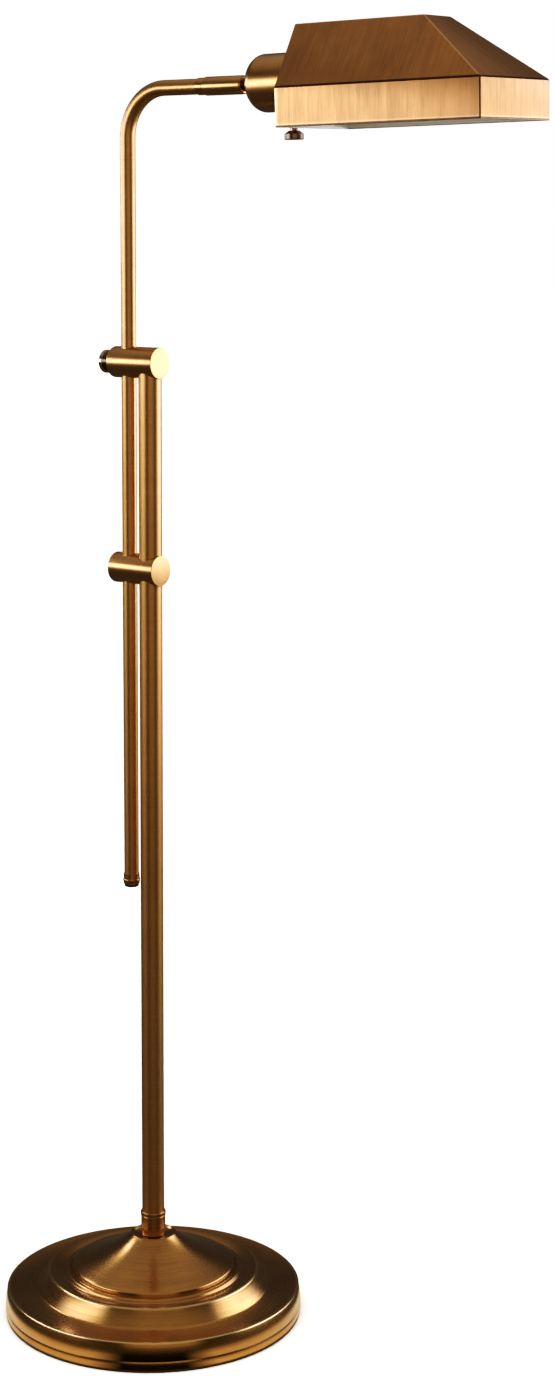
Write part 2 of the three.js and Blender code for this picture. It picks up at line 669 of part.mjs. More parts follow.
function socketBody() {
  const hubBore = STEM_THREAD_RADIUS + GAP;
  const body = turnedAlongX([
    [hubBore, SOCKET_HUB_START],
    [SOCKET_HUB_RADIUS, SOCKET_HUB_START],
    [SOCKET_HUB_RADIUS, SOCKET_BODY_START],
    [SOCKET_BODY_RADIUS, SOCKET_BODY_START],
    [SOCKET_BODY_RADIUS, SOCKET_BODY_END],
    [SOCKET_NECK_RADIUS, SOCKET_BODY_END],
    [SOCKET_NECK_RADIUS, SOCKET_END],
    [SOCKET_BORE_RADIUS, SOCKET_END],
    [SOCKET_BORE_RADIUS, SOCKET_FLOOR],
    [hubBore, SOCKET_FLOOR - 4],
  ]);
  const shaftHole = uprightCutter(
    SWITCH_SHAFT_RADIUS + GAP, SWITCH_X, 0, -SOCKET_BODY_RADIUS - OVERSHOOT, SWITCH_SHAFT_TOP + GAP);
  return cut(body, shaftHole);
}

function bulbGlass() {
  const waist = BULB_NECK_START + 12;
  const outside = [
    [BULB_NECK_RADIUS, BULB_NECK_START],
    ...sweep([BULB_NECK_RADIUS + 0.4, waist], [17, 92], [25, 104], 3),
    ...arc(0, BULB_CENTRE, BULB_RADIUS, BULB_RADIUS, -25, 90, 7),
  ];
  const wall = BULB_GLASS_WALL;
  const inside = [
    ...arc(0, BULB_CENTRE, BULB_RADIUS - wall, BULB_RADIUS - wall, 90, -25, 5),
    ...sweep([24.2, 104.6], [16, 93], [BULB_NECK_RADIUS - wall, waist + 2], 2),
    [BULB_NECK_RADIUS - wall, BULB_NECK_START],
  ];
  return turnedAlongX([...outside, ...inside, outside[0]]);
}

function addBulb(parent) {
  const base = [
    [0, BULB_BASE_START],
    [BULB_BASE_RADIUS - 5, BULB_BASE_START],
    [BULB_BASE_RADIUS, BULB_BASE_START + 4],
    [BULB_BASE_RADIUS, BULB_NECK_START - GAP],
    [0, BULB_NECK_START - GAP],
  ];
  piece(parent, 'bulb_base', turnedAlongX(base), plainBrass);
  piece(parent, 'bulb_glass', bulbGlass(), opalGlass);
}

function addSocket(parent) {
  const cupNut = hexNut(CUP_NUT_FLATS, STEM_THREAD_RADIUS + GAP, CUP_NUT_THICKNESS).rotateY(Math.PI / 2);
  const wall = SCREW_SHELL_WALL;
  const shell = sleeveProfile(
    SCREW_SHELL_RADIUS - wall, SCREW_SHELL_RADIUS, SOCKET_FLOOR + GAP, SCREW_SHELL_END);
  const contactStart = SOCKET_FLOOR + GAP;
  const contact = rodProfile(CONTACT_RADIUS, contactStart, contactStart + CONTACT_THICKNESS);
  piece(parent, 'stem_nut', turnedAlongX(stemNutProfile()), antiqueBrass);
  piece(parent, 'socket_cup', socketCup(), antiqueBrass);
  piece(parent, 'cup_nut', cupNut, zincSteel, CUP_NUT_START);
  piece(parent, 'socket_body', socketBody(), phenolic);
  piece(parent, 'socket_screw_shell', turnedAlongX(shell), plainBrass);
  piece(parent, 'socket_contact', turnedAlongX(contact, SIDES_SMALL), plainBrass);
}

// ---- Switch ----

function switchKnobProfile() {
  return [
    [0, SWITCH_KNOB_BOTTOM],
    [SWITCH_KNOB_RADIUS - 0.5, SWITCH_KNOB_BOTTOM],
    [SWITCH_KNOB_RADIUS, SWITCH_KNOB_BOTTOM + 0.5],
    [SWITCH_KNOB_RADIUS, SWITCH_KNOB_CONE_BOTTOM - 0.3],
    [SWITCH_KNOB_RADIUS - 0.6, SWITCH_KNOB_CONE_BOTTOM],
    [SWITCH_BUSH_RADIUS + 1.3, SWITCH_KNOB_CONE_TOP],
    [SWITCH_BUSH_RADIUS, SWITCH_KNOB_CONE_TOP],
    [SWITCH_BUSH_RADIUS, SWITCH_KNOB_TOP],
    [SWITCH_SHAFT_RADIUS + GAP, SWITCH_KNOB_TOP],
    [SWITCH_SHAFT_RADIUS + GAP, SWITCH_KNOB_BOTTOM + 2],
    [0, SWITCH_KNOB_BOTTOM + 2],
  ];
}

function addSwitch(parent) {
  const bush = sleeveProfile(
    SWITCH_SHAFT_RADIUS + GAP, SWITCH_BUSH_RADIUS, SWITCH_BUSH_BOTTOM, SWITCH_BUSH_TOP);
  const nutTop = -CUP_RADIUS - GAP;
  const nut = sleeveProfile(
    SWITCH_BUSH_RADIUS + GAP, SWITCH_NUT_RADIUS, nutTop - SWITCH_NUT_THICKNESS, nutTop);
  const shaft = rodProfile(SWITCH_SHAFT_RADIUS, SWITCH_KNOB_BOTTOM + 2 + GAP, SWITCH_SHAFT_TOP);
  piece(parent, 'switch_bush', turned(bush, SIDES_SMALL), plainBrass, SWITCH_X);
  piece(parent, 'switch_nut', turned(nut, SIDES_SMALL), darkBronze, SWITCH_X);
  piece(parent, 'switch_shaft', turned(shaft, SIDES_SMALL), zincSteel, SWITCH_X);
  piece(parent, 'switch_knob', turned(switchKnobProfile()), darkBronze, SWITCH_X);
}

// ---- Shade ----

// A closed block of the shade's form, with its faces moved inward by the inset. The rear face can be
// pushed back and the bottom lowered, to cut an opening through them.
function shadeBlock(inset, rearPush = 0, drop = 0) {
  const rear = SHADE_REAR + inset - rearPush;
  const front = SHADE_REAR + SHADE_LENGTH - inset;
  const roofFront = SHADE_REAR + SHADE_LENGTH - SHADE_FRONT_RUN - inset * ROOF_FRONT_SHIFT;
  const side = SHADE_HALF_WIDTH - inset;
  const roofSide = SHADE_TOP_HALF_WIDTH - inset * ROOF_SIDE_SHIFT;
  const fold = SHADE_FOLD - inset * FOLD_SHIFT;
  const top = SHADE_TOP - inset;
  const low = SHADE_BOTTOM - drop;
  const corners = [];
  for (const sign of [-1, 1]) {
    corners.push(new THREE.Vector3(rear, sign * side, low), new THREE.Vector3(front, sign * side, low));
    corners.push(new THREE.Vector3(front, sign * side, fold));
    corners.push(new THREE.Vector3(roofFront, sign * roofSide, top));
    corners.push(new THREE.Vector3(rear - SHADE_REAR_LEAN, sign * roofSide, top));
    corners.push(new THREE.Vector3(rear - SHADE_LEAN_AT_FOLD, sign * side, fold));
  }
  return new ConvexGeometry(corners);
}

// The folded sheet: roof, sides and front, open at the rear and underneath.
function shadeShell() {
  return cut(shadeBlock(0), shadeBlock(SHADE_WALL, 3 * OVERSHOOT, 3 * OVERSHOOT));
}

// The flat panel that closes the rear, let in between the sides and bored for the socket.
function rearPanel() {
  const reach = 5 * OVERSHOOT;
  const hole = turnedAlongX(rodProfile(SHADE_HOLE_RADIUS, SHADE_REAR - reach, SHADE_REAR + reach));
  const inset = SHADE_WALL + GAP;
  return cut(shadeBlock(inset, inset), shadeBlock(0, -SHADE_WALL, reach), hole);
}

function addShade(parent) {
  const ring = sleeveProfile(
    SHADE_RING_BORE_RADIUS, SHADE_RING_RADIUS, SHADE_RING_START, SHADE_RING_START + SHADE_RING_THICKNESS);
  piece(parent, 'shade_shell', shadeShell(), antiqueBrass);
  piece(parent, 'shade_rear_panel', rearPanel(), antiqueBrass);
  piece(parent, 'shade_ring', turnedAlongX(ring), phenolic);
}

// ---- Assembly ----

const lamp = new THREE.Group();
addBase(lamp);
addBarrels(lamp);
addClamp(lamp);
addArm(lamp);

const head = new THREE.Group();
head.position.set(BALL_CENTRE_X, 0, ARM_HEIGHT);
head.rotation.set(HEAD_ROLL, HEAD_TILT, 0, 'YXZ');
piece(head, 'swivel_ball', turnedAlongX(ballProfile()), plainBrass);
addSocket(head);
addSwitch(head);
addBulb(head);
addShade(head);
lamp.add(head);

export default lamp;
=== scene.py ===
# %% [markdown]
# # A pharmacy floor lamp
#
# The real lamp is brass: a spun shell over a cast weight, a pole, two solid cross barrels, a bent
# arm tube that slides through them, and a folded shade on a ball swivel. Almost every piece comes
# off a lathe, so most of them start here as half an outline that is spun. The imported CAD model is
# loaded first and never moved: each piece is made in its place and rides on one of its bodies.

# %% Load the frame
import json
import math

import bmesh
import bpy
from mathutils import Matrix, Vector


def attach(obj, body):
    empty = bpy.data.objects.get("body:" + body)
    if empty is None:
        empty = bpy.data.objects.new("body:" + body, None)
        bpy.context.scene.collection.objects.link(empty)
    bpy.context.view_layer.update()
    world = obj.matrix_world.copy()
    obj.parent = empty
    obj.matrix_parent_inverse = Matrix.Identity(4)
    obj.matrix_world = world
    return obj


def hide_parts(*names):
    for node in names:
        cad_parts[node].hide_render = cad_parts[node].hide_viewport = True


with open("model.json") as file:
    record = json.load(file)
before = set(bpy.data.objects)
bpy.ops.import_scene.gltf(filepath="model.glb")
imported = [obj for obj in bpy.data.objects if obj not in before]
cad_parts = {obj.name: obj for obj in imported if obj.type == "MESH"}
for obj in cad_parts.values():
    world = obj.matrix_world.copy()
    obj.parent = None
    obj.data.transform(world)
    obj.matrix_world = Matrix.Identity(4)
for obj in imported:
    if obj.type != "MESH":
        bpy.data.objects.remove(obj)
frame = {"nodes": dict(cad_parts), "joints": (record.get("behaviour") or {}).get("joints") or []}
scene = bpy.context.scene
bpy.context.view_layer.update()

# %% [markdown]
# Everything is modelled in millimetres about its own axis and then placed. An upright piece is
# turned about +Z. A lying one is turned the same way and tipped onto +X. The head leans a little,
# so its axes come from the joints: the ball's centre, the line it rolls about, and the switch's.

# %% Standing places
MM = 0.001
TIPPED = Matrix.Rotation(math.pi / 2, 4, "Y")
ARM_X = -23.4
ARM_Z = 1082.9
UPPER_Z = 855.5
LOWER_Z = 678.1


def upright(x=0, y=0, z=0):
    return Matrix.Scale(MM, 4) @ Matrix.Translation((x, y, z))


def lying(x=0, y=0, z=0):
    return upright(x, y, z) @ TIPPED


joints = {joint["name"]: joint for joint in frame["joints"]}
ball_centre = Vector(joints["head_tilt"]["pos_m"])
head_line = Vector(joints["head_roll"]["axis"]).normalized()
head_up = -Vector(joints["switch_turn"]["axis"]).normalized()
head_side = head_up.cross(head_line).normalized()
head_turn = Matrix((head_line, head_side, head_line.cross(head_side))).transposed().to_4x4()
HEAD = Matrix.Translation(ball_centre) @ head_turn @ Matrix.Scale(MM, 4)
HEAD_LYING = HEAD @ TIPPED
print("ball centre", [round(value, 4) for value in ball_centre])

# %% [markdown]
# ## Finishes
#
# The brass was brushed, darkened and lacquered. Brushing leaves fine lines in one direction, so
# each piece carries an attribute named grain: its first two numbers change slowly along the lines
# and the third runs across them. Noise stretched in that space gives the lines, and broad noise
# gives the clouds of the darkening bath. The highlight spreads across the lines, which is what the
# anisotropic value does, with its direction taken from the UV map named brush. A coat is the
# lacquer. Values that are the same all over a surface sit on the shader itself.

# %% Node helpers


def add(tree, kind, sockets=None, **settings):
    """Adds a node with its settings, and links or sets the sockets named."""
    new = tree.nodes.new(kind)
    for key, value in settings.items():
        setattr(new, key, value)
    for key, value in (sockets or {}).items():
        if isinstance(value, bpy.types.NodeSocket):
            tree.links.new(value, new.inputs[key])
        else:
            new.inputs[key].default_value = value
    return new


# The Mix and Map Range nodes use a socket name more than once, so theirs go by number.


def noise(tree, vector, scale, detail=3.0, roughness=0.6):
    sockets = {"Vector": vector, "Scale": scale, "Detail": detail, "Roughness": roughness}
    return add(tree, "ShaderNodeTexNoise", sockets).outputs[0]


def stretch(tree, vector, scale):
    return add(tree, "ShaderNodeMapping", {"Vector": vector, "Scale": scale}).outputs[0]


def spread(tree, value, low, high, new_low=0.0, new_high=1.0):
    sockets = {0: value, 1: low, 2: high, 3: new_low, 4: new_high}
    return add(tree, "ShaderNodeMapRange", sockets, clamp=True).outputs[0]


def maths(tree, operation, first, second):
    return add(tree, "ShaderNodeMath", {0: first, 1: second}, operation=operation).outputs[0]


def blended_value(tree, share, first, second):
    """First, with a share of the second mixed in."""
    sockets = {0: share, 2: first, 3: second}
    return add(tree, "ShaderNodeMix", sockets, data_type="FLOAT").outputs[0]


def blend(tree, factor, first, second):
    sockets = {0: factor, 6: first, 7: second}
    return add(tree, "ShaderNodeMix", sockets, data_type="RGBA").outputs[2]


def bump(tree, height, strength, distance):
    sockets = {"Height": height, "Strength": strength, "Distance": distance}
    return add(tree, "ShaderNodeBump", sockets).outputs[0]


def new_material(name, **values):
    """A material with a Principled shader and the values that are the same all over it."""
    made = bpy.data.materials.new(name)
    made.use_nodes = True
    shader = made.node_tree.nodes["Principled BSDF"]
    for key, value in values.items():
        shader.inputs[key.replace("_", " ")].default_value = value
    return made, made.node_tree, shader


def plug(tree, shader, **sockets):
    for key, value in sockets.items():
        tree.links.new(value, shader.inputs[key.replace("_", " ")])


def shade_of(red, green, blue):
    return (red, green, blue, 1.0)


# %% Brushed brass


LACQUER_ROUGHNESS = 0.18
LACQUER_IOR = 1.5
CLOUD_SCALE = 16.0
LINE_DEPTH = 0.0001


def brushed(name, light, dark, rubbed_and_highlight=None, shine=(0.22, 0.32), lines=(14, 14, 900), relief=0.045,
            anisotropic=0.6, coat=1.0):
    """Brushed metal: fine lines, wider bands and clouds between a light and a dark tone.

    Where the wear_and_highlight attribute is 1 the colour goes to the lighter one given, partly as
    wear and partly as painted highlight.
    """
    made, tree, shader = new_material(
        name, Metallic=1.0, Anisotropic=anisotropic, Coat_Weight=coat,
        Coat_Roughness=LACQUER_ROUGHNESS, Coat_IOR=LACQUER_IOR)
    grain = add(tree, "ShaderNodeAttribute", attribute_name="grain").outputs["Vector"]
    place = add(tree, "ShaderNodeTexCoord").outputs["Object"]
    band_scale = (lines[0] * 0.6, lines[1] * 0.6, lines[2] * 0.2)
    fine = noise(tree, stretch(tree, grain, lines), 1.0, detail=4.0, roughness=0.75)
    wide = noise(tree, stretch(tree, grain, band_scale), 1.0)
    cloud = noise(tree, place, CLOUD_SCALE, detail=4.0)
    streak = blended_value(tree, 0.36, fine, wide)
    tone = blended_value(tree, 0.42, streak, cloud)
    colour = blend(tree, spread(tree, tone, 0.4, 0.6), shade_of(*dark), shade_of(*light))
    if rubbed_and_highlight:
        wear_and_highlight = add(tree, "ShaderNodeAttribute", attribute_name="wear_and_highlight").outputs["Fac"]
        patchy = maths(tree, "MULTIPLY", wear_and_highlight, spread(tree, fine, 0.3, 0.55, 0.7, 1.0))
        colour = blend(tree, patchy, colour, shade_of(*rubbed_and_highlight))
    plug(
        tree, shader,
        Base_Color=colour,
        Roughness=spread(tree, streak, 0.38, 0.62, shine[1], shine[0]),
        Normal=bump(tree, fine, relief, LINE_DEPTH),
        Tangent=add(tree, "ShaderNodeTangent", direction_type="UV_MAP", uv_map="brush").outputs[0],
    )
    return made


# A lighter brass for edges and rims: partly real wear, partly painted highlight.
RUBBED_AND_HIGHLIGHT = (0.95, 0.66, 0.36)
antique_brass = brushed(
    "antique_brass_brushed", (0.66, 0.33, 0.11), (0.52, 0.25, 0.075), RUBBED_AND_HIGHLIGHT)
drawn_brass = brushed(
    "antique_brass_drawn", (0.68, 0.345, 0.11), (0.58, 0.285, 0.085),
    shine=(0.37, 0.42), lines=(14, 14, 500), relief=0.012, anisotropic=0.5)
sheet_brass = brushed(
    "antique_brass_sheet", (0.6, 0.28, 0.1), (0.38, 0.175, 0.06), RUBBED_AND_HIGHLIGHT,
    shine=(0.34, 0.42), lines=(30, 30, 900), relief=0.06, anisotropic=0.3, coat=0.5)
# A near-black brass for the shade's folds and hem and for the swivel ball: painted shade where
# these lie in shadow.
painted_shade_brass = brushed(
    "antique_brass_painted_shade", (0.14, 0.055, 0.022), (0.08, 0.032, 0.014),
    shine=(0.3, 0.4), coat=0.3)
bar_brass = brushed(
    "antique_brass_turned_bar", (0.67, 0.335, 0.11), (0.56, 0.27, 0.08),
    shine=(0.27, 0.31), relief=0.012, anisotropic=0.5)
base_brass = brushed(
    "antique_brass_spun", (0.58, 0.29, 0.08), (0.38, 0.18, 0.05), RUBBED_AND_HIGHLIGHT,
    shine=(0.2, 0.3), lines=(9, 9, 800), anisotropic=0.75, coat=0.7)
plain_brass = brushed(
    "plain_brass_turned", (0.83, 0.6, 0.27), (0.7, 0.47, 0.18), shine=(0.16, 0.28),
    coat=0.0)
dark_bronze = brushed(
    "dark_bronze_turned", (0.085, 0.05, 0.032), (0.035, 0.02, 0.014),
    shine=(0.2, 0.36))
brown_bronze = brushed(
    "dark_bronze_knurled", (0.46, 0.3, 0.22), (0.2, 0.12, 0.085), shine=(0.26, 0.4))
polished_rim = brushed(
    "dark_bronze_polished_rim", (0.62, 0.52, 0.44), (0.4, 0.31, 0.25),
    shine=(0.1, 0.2))
zinc_steel = brushed(
    "zinc_steel_turned", (0.62, 0.63, 0.65), (0.45, 0.46, 0.47), shine=(0.25, 0.4),
    coat=0.0)
print("brushed metals:", len(bpy.data.materials))

# %% [markdown]
# The rest is cast, moulded, painted or woven, and has no direction. Noise in the piece's own space
# is enough: a broad one for the tone and a finer one for the skin.

# %% Plain materials


def mottled(name, light, dark, scale, rough, height, metallic=0.0, **values):
    made, tree, shader = new_material(name, Metallic=metallic, **values)
    place = add(tree, "ShaderNodeTexCoord").outputs["Object"]
    tone = noise(tree, place, scale, detail=5.0)
    skin = noise(tree, place, scale * 6, detail=3.0)
    plug(
        tree, shader,
        Base_Color=blend(
            tree, spread(tree, tone, 0.35, 0.65), shade_of(*dark), shade_of(*light)),
        Roughness=spread(tree, skin, 0.3, 0.7, rough[0], rough[1]),
        Normal=bump(tree, skin, 0.35, height),
    )
    return made


cast_iron = mottled(
    "cast_iron_rough", (0.09, 0.09, 0.095), (0.035, 0.03, 0.028), scale=220,
    rough=(0.6, 0.85), height=0.0006, metallic=0.5)
felt = mottled(
    "felt_green", (0.02, 0.045, 0.03), (0.008, 0.02, 0.013), scale=900,
    rough=(0.9, 1.0), height=0.0006)
nylon = mottled(
    "nylon_natural", (0.78, 0.73, 0.62), (0.7, 0.65, 0.54), scale=180,
    rough=(0.4, 0.55), height=0.0001)
phenolic = mottled(
    "phenolic_black", (0.018, 0.015, 0.013), (0.01, 0.009, 0.008), scale=160,
    rough=(0.35, 0.5), height=0.0001)
rubber = mottled(
    "rubber_black", (0.014, 0.013, 0.012), (0.008, 0.008, 0.008), scale=300,
    rough=(0.6, 0.8), height=0.0002)
white_enamel = mottled(
    "white_enamel", (0.86, 0.87, 0.88), (0.8, 0.81, 0.82), scale=60,
    rough=(0.3, 0.42), height=0.00015, Coat_Weight=0.4)
opal_glass = mottled(
    "opal_glass_frosted", (0.9, 0.9, 0.89), (0.84, 0.84, 0.83), scale=120,
    rough=(0.3, 0.4), height=0.00008, Coat_Weight=0.4)
print("materials:", ", ".join(sorted(made.name for made in bpy.data.materials)))

# %% [markdown]
# ## From half an outline to a turned piece
#
# A lathe piece is half an outline swept round its axis. The outline's corners are listed as radius
# and height, and a third number rounds that corner with the bevel tool before the spin. The
# distance along the outline is stored on it first, because it is the direction across the lathe's
# lines, and the spin copies it to the whole skin.

# %% Turned pieces
STEPS = 96
ROUND_STEPS = 5
WELD = 0.003


def outward(bm):
    bmesh.ops.recalc_face_normals(bm, faces=bm.faces[:])
    return bm


def outline(points, closed):
    """A wire of [radius, height, rounding] points, with the distance along it stored."""
    bm = bmesh.new()
    along = bm.verts.layers.float.new("along")
    bm.verts.layers.float_vector.new("grain")
    verts = [bm.verts.new((point[0], 0, point[1])) for point in points]
    edges = [bm.edges.new(pair) for pair in zip(verts, verts[1:])]
    if closed:
        edges.append(bm.edges.new((verts[-1], verts[0])))
    for vert, point in zip(verts, points):
        if len(point) > 2:
            bmesh.ops.bevel(
                bm, geom=[vert], offset=point[2], offset_type="OFFSET", segments=ROUND_STEPS,
                profile=0.5, affect="VERTICES", material=-1)
    ends = [vert for vert in bm.verts if len(vert.link_edges) == 1]
    vert = min(ends or bm.verts, key=lambda end: (round(end.co.z, 4), end.co.x))
    distance, seen = 0.0, set()
    while vert is not None:
        seen.add(vert)
        vert[along] = distance
        onward = [edge.other_vert(vert) for edge in vert.link_edges]
        step = next((other for other in onward if other not in seen), None)
        distance += (step.co - vert.co).length if step else 0.0
        vert = step
    return bm


def spun(points, steps=STEPS):
    """A solid of revolution about +Z, in millimetres."""
    bm = outline(points, closed=points[0][0] > 0)
    bmesh.ops.spin(
        bm, geom=bm.verts[:] + bm.edges[:], cent=(0, 0, 0), axis=(0, 0, 1), dvec=(0, 0, 0),
        angle=2 * math.pi, steps=steps, use_merge=True, use_duplicate=False)
    bmesh.ops.remove_doubles(bm, verts=bm.verts[:], dist=WELD)
    return outward(bm)


def rod(radius, low, high, edge=0.0, steps=STEPS):
    corner = (edge,) if edge else ()
    return spun([(0, low), (radius, low, *corner), (radius, high, *corner), (0, high)], steps)


def sleeve(bore, radius, low, high, edge=0.2, steps=STEPS):
    return spun([(bore, low), (radius, low, edge), (radius, high, edge), (bore, high)], steps)


# %% [markdown]
# The brush lines of a turned piece run round it. The grain attribute keeps the two slow numbers in
# the plane of the circle and the distance along the outline as the fast one. The UV map has the
# same two directions. Its seam is turned to the rear of the lamp.

# %% Grain of a turned piece
SEAM_DIRECTION = math.radians(130)
BRUSH_ALONG = 0.01
BRUSH_AROUND = 0.1


def wrapped(angle):
    """The angle brought to within half a turn of zero."""
    return (angle + math.pi) % (2 * math.pi) - math.pi


def turned_grain(bm):
    along = bm.verts.layers.float["along"]
    grain = bm.verts.layers.float_vector["grain"]
    brush = bm.loops.layers.uv.new("brush")
    for vert in bm.verts:
        vert[grain] = Vector((vert.co.x, vert.co.y, vert[along])) * MM
    for face in bm.faces:
        middle = face.calc_center_median()
        facing = (math.atan2(middle.y, middle.x) - SEAM_DIRECTION) % (2 * math.pi)
        for loop in face.loops:
            x, y = loop.vert.co.x, loop.vert.co.y
            swing = 0.0
            if math.hypot(x, y) > 0.01:
                swing = wrapped(math.atan2(y, x) - SEAM_DIRECTION - facing)
            loop[brush].uv = (loop.vert[along] * BRUSH_ALONG, (facing + swing) * BRUSH_AROUND)


# %% [markdown]
# A finished piece is moved to its place as a mesh, so its object stays unturned at the origin. It
# is parented to the empty of the body it rides on, and the CAD solids it stands for are hidden.
# Corners sharper than an angle stay crisp.

# %% Put a piece in its place


def moved(bm, matrix):
    bmesh.ops.transform(bm, matrix=matrix, verts=bm.verts[:])
    return bm


def linked_object(name, bm, materials=()):
    """Turns the mesh into an object of the scene."""
    mesh = bpy.data.meshes.new(name)
    bm.to_mesh(mesh)
    bm.free()
    for finish in materials:
        mesh.materials.append(finish)
    made = bpy.data.objects.new(name, mesh)
    scene.collection.objects.link(made)
    return made


def place(name, bm, matrix, body, slot, nodes, materials, sharp=30):
    """Moves the mesh to its place, makes the object, parents it to its body and hides the CAD
    solids.
    """
    made = linked_object(name, moved(bm, matrix), materials)
    made.data.shade_smooth()
    made.data.set_sharp_from_angle(angle=math.radians(sharp))
    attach(made, body)
    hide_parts(*nodes)
    print(f"{name}: {len(made.data.polygons)} faces on {body}")
    return made


def turn(name, bm, matrix, body, slot, node, *materials, sharp=30):
    turned_grain(bm)
    return place(name, bm, matrix, body, slot, [node], materials, sharp)


# %% [markdown]
# ## Base
#
# The shell is one disc of brass, spun over a form: a crease low on the wall, a sharp rim, a shallow
# dished annulus, a step, two grooves with a bead between them, and a bell that rises to the pole.
# It is thin, so the outline runs along the outside and back along the inside. Soft stretches are
# short curves between two points that lean toward a pull point.

# %% Base shell


def soft(start, pull, end, steps):
    """Points of a curve from start to end that leans toward the pull point."""
    points = []
    for step in range(steps + 1):
        t = step / steps
        near, middle, far = (1 - t) ** 2, 2 * t * (1 - t), t * t
        points.append((
            near * start[0] + middle * pull[0] + far * end[0],
            near * start[1] + middle * pull[1] + far * end[1]))
    return points


base_outside = [
    (132.8, 0.6, 0.5),
    *soft((133.4, 2.4), (134.1, 5.6), (133.75, 9.2), 6),
    (133.3, 10.3),
    (133.9, 11.0),
    (132.1, 26.0),
    *soft((131.9, 26.3), (131.7, 27.2), (130.6, 27.1), 4),
    *soft((128.5, 26.9), (118.0, 25.5), (107.0, 26.6), 8),
    *soft((105.8, 26.8), (104.6, 27.0), (103.9, 27.9), 5),
    *soft((103.2, 28.8), (98.9, 34.2), (95.3, 40.0), 6),
    *soft((94.9, 40.8), (94.3, 42.1), (92.6, 41.95), 4),
    *soft((90.0, 41.7), (85.0, 41.2), (82.2, 40.3), 5),
    (80.8, 39.9),
    *soft((79.7, 40.6), (78.6, 43.0), (76.9, 43.1), 5),
    *soft((75.6, 43.1), (74.7, 42.4), (74.0, 41.9), 3),
    (73.5, 42.2),
    *soft((73.1, 44.9), (73.1, 46.2), (71.6, 47.0), 5),
    *soft((69.6, 47.9), (33.0, 60.5), (20.4, 74.2), 22),
    *soft((20.0, 74.7), (19.4, 75.2), (18.7, 74.8), 4),
    (17.6, 73.5),
    (17.1, 73.2),
    (5.2, 73.2),
]
base_inside = [
    (5.2, 71.6),
    (18.0, 71.4),
    *soft((19.0, 70.9), (32.4, 58.6), (69.0, 46.2), 12),
    (71.5, 44.6),
    (72.5, 38.2),
    (92.8, 39.4),
    (104.1, 26.4),
    (118.0, 24.7),
    (130.4, 25.0),
    (132.0, 10.8),
    (131.3, 0.6),
]
# Where the shell's rims are lightened as painted highlight: radius, height, reach and amount.
HIGHLIGHT_RIMS = ((131.2, 26.8, 1.2, 1.0), (94.2, 41.4, 1.1, 0.6))
BASE_STEPS = 160
base = spun(base_outside + base_inside, BASE_STEPS)
wear_and_highlight = base.verts.layers.float.new("wear_and_highlight")
for vert in base.verts:
    for radius, level, reach, amount in HIGHLIGHT_RIMS:
        if math.hypot(math.hypot(vert.co.x, vert.co.y) - radius, vert.co.z - level) < reach:
            vert[wear_and_highlight] = amount
turn("spun_base_shell", base, upright(), "stand", "antique_brass",
     "base_shell", base_brass, sharp=50)

# %% [markdown]
# The felt under the base is a cut disc with a fuzzy edge. Its thickness fills the space below the
# weight. The collar is a turned sleeve with a bead at its top, and the pole stands in it.

# %% Felt, collar and pole
turn("felt_disc", rod(126, 0.0, 2.0, edge=0.5, steps=128), upright(), "stand", "felt", "base_felt",
     felt)

collar = spun([
    (5.2, 73.5), (10.9, 73.5, 0.3), (10.9, 91.1), (10.75, 91.35), (10.9, 91.6), (11.35, 91.9, 0.2),
    (11.35, 95.3, 0.7), (10.3, 95.3), (10.3, 82), (5.2, 82)])
turn("turned_collar", collar, upright(), "stand", "antique_brass", "pole_collar", antique_brass)

POLE_RADIUS = 10.0
POLE_BORE = 8.8
POLE_FOOT = 82.3
POLE_TOP = 863.2
pole = spun([
    (POLE_BORE, POLE_FOOT), (POLE_RADIUS, POLE_FOOT), (POLE_RADIUS, POLE_TOP),
    (POLE_BORE, POLE_TOP)])
turn("drawn_main_pole", pole, upright(), "stand", "antique_brass", "main_pole", drawn_brass)

# %% [markdown]
# ## Cross barrels
#
# Each barrel is a solid bar with faced and lightly broken ends, cross-drilled for the pole and for
# the arm tube, with a small tapped hole for a grub screw at the back. Drilling is what the Boolean
# modifier does, so each hole is a rod taken away from the bar, and the result is made the mesh.

# %% Drill holes through a piece
SMALL_STEPS = 32
ASIDE = Matrix.Rotation(-math.pi / 2, 4, "X")


def drilled(bm, holes):
    """The mesh with every hole, itself a mesh, taken away from it."""
    block = linked_object("drilling", bm)
    tools = [linked_object("drilling", hole) for hole in holes]
    for tool in tools:
        modifier = block.modifiers.new("hole", "BOOLEAN")
        modifier.operation = "DIFFERENCE"
        modifier.solver = "EXACT"
        modifier.object = tool
    result = bmesh.new()
    result.from_object(block, bpy.context.evaluated_depsgraph_get())
    for holder in [block, *tools]:
        bpy.data.meshes.remove(holder.data)
    return result


def cross_hole(radius, along, low, high, steps=STEPS):
    """A rod across a standing piece, at a distance along its axis, to be taken away from it."""
    return moved(rod(radius, low, high, steps=steps), Matrix.Translation((0, 0, along)) @ TIPPED)


def side_hole(radius, depth):
    """A hole from the +Y side of the bar to its middle."""
    return moved(rod(radius, 0, depth, steps=SMALL_STEPS), ASIDE)


# %% [markdown]
# Both bars start as the same turned blank. The upper one is not drilled right through for the
# pole, fits the arm tube closely, and has the clamp screw's hole along its axis.

# %% Barrels
BAR_STEPS = 144
BAR_RADIUS = 13.4
BAR_REAR = -37.8
BAR_FRONT = 11.4
BAR_EDGE = 0.55
POLE_HOLE = 10.3
POLE_STOP = -8
BUSH_HOLE = 7.8
TUBE_HOLE = 6.85
GRUB_HOLE = 2.7
CLAMP_HOLE = 3.2
REACH = 20


def barrel(name, height, *holes):
    blank = spun([
        (0, BAR_REAR), (BAR_RADIUS, BAR_REAR, BAR_EDGE), (BAR_RADIUS, BAR_FRONT, BAR_EDGE),
        (0, BAR_FRONT)], BAR_STEPS)
    turn(f"{name}_cross_barrel", drilled(blank, holes), lying(z=height), "stand", "antique_brass",
         f"{name}_barrel", bar_brass)


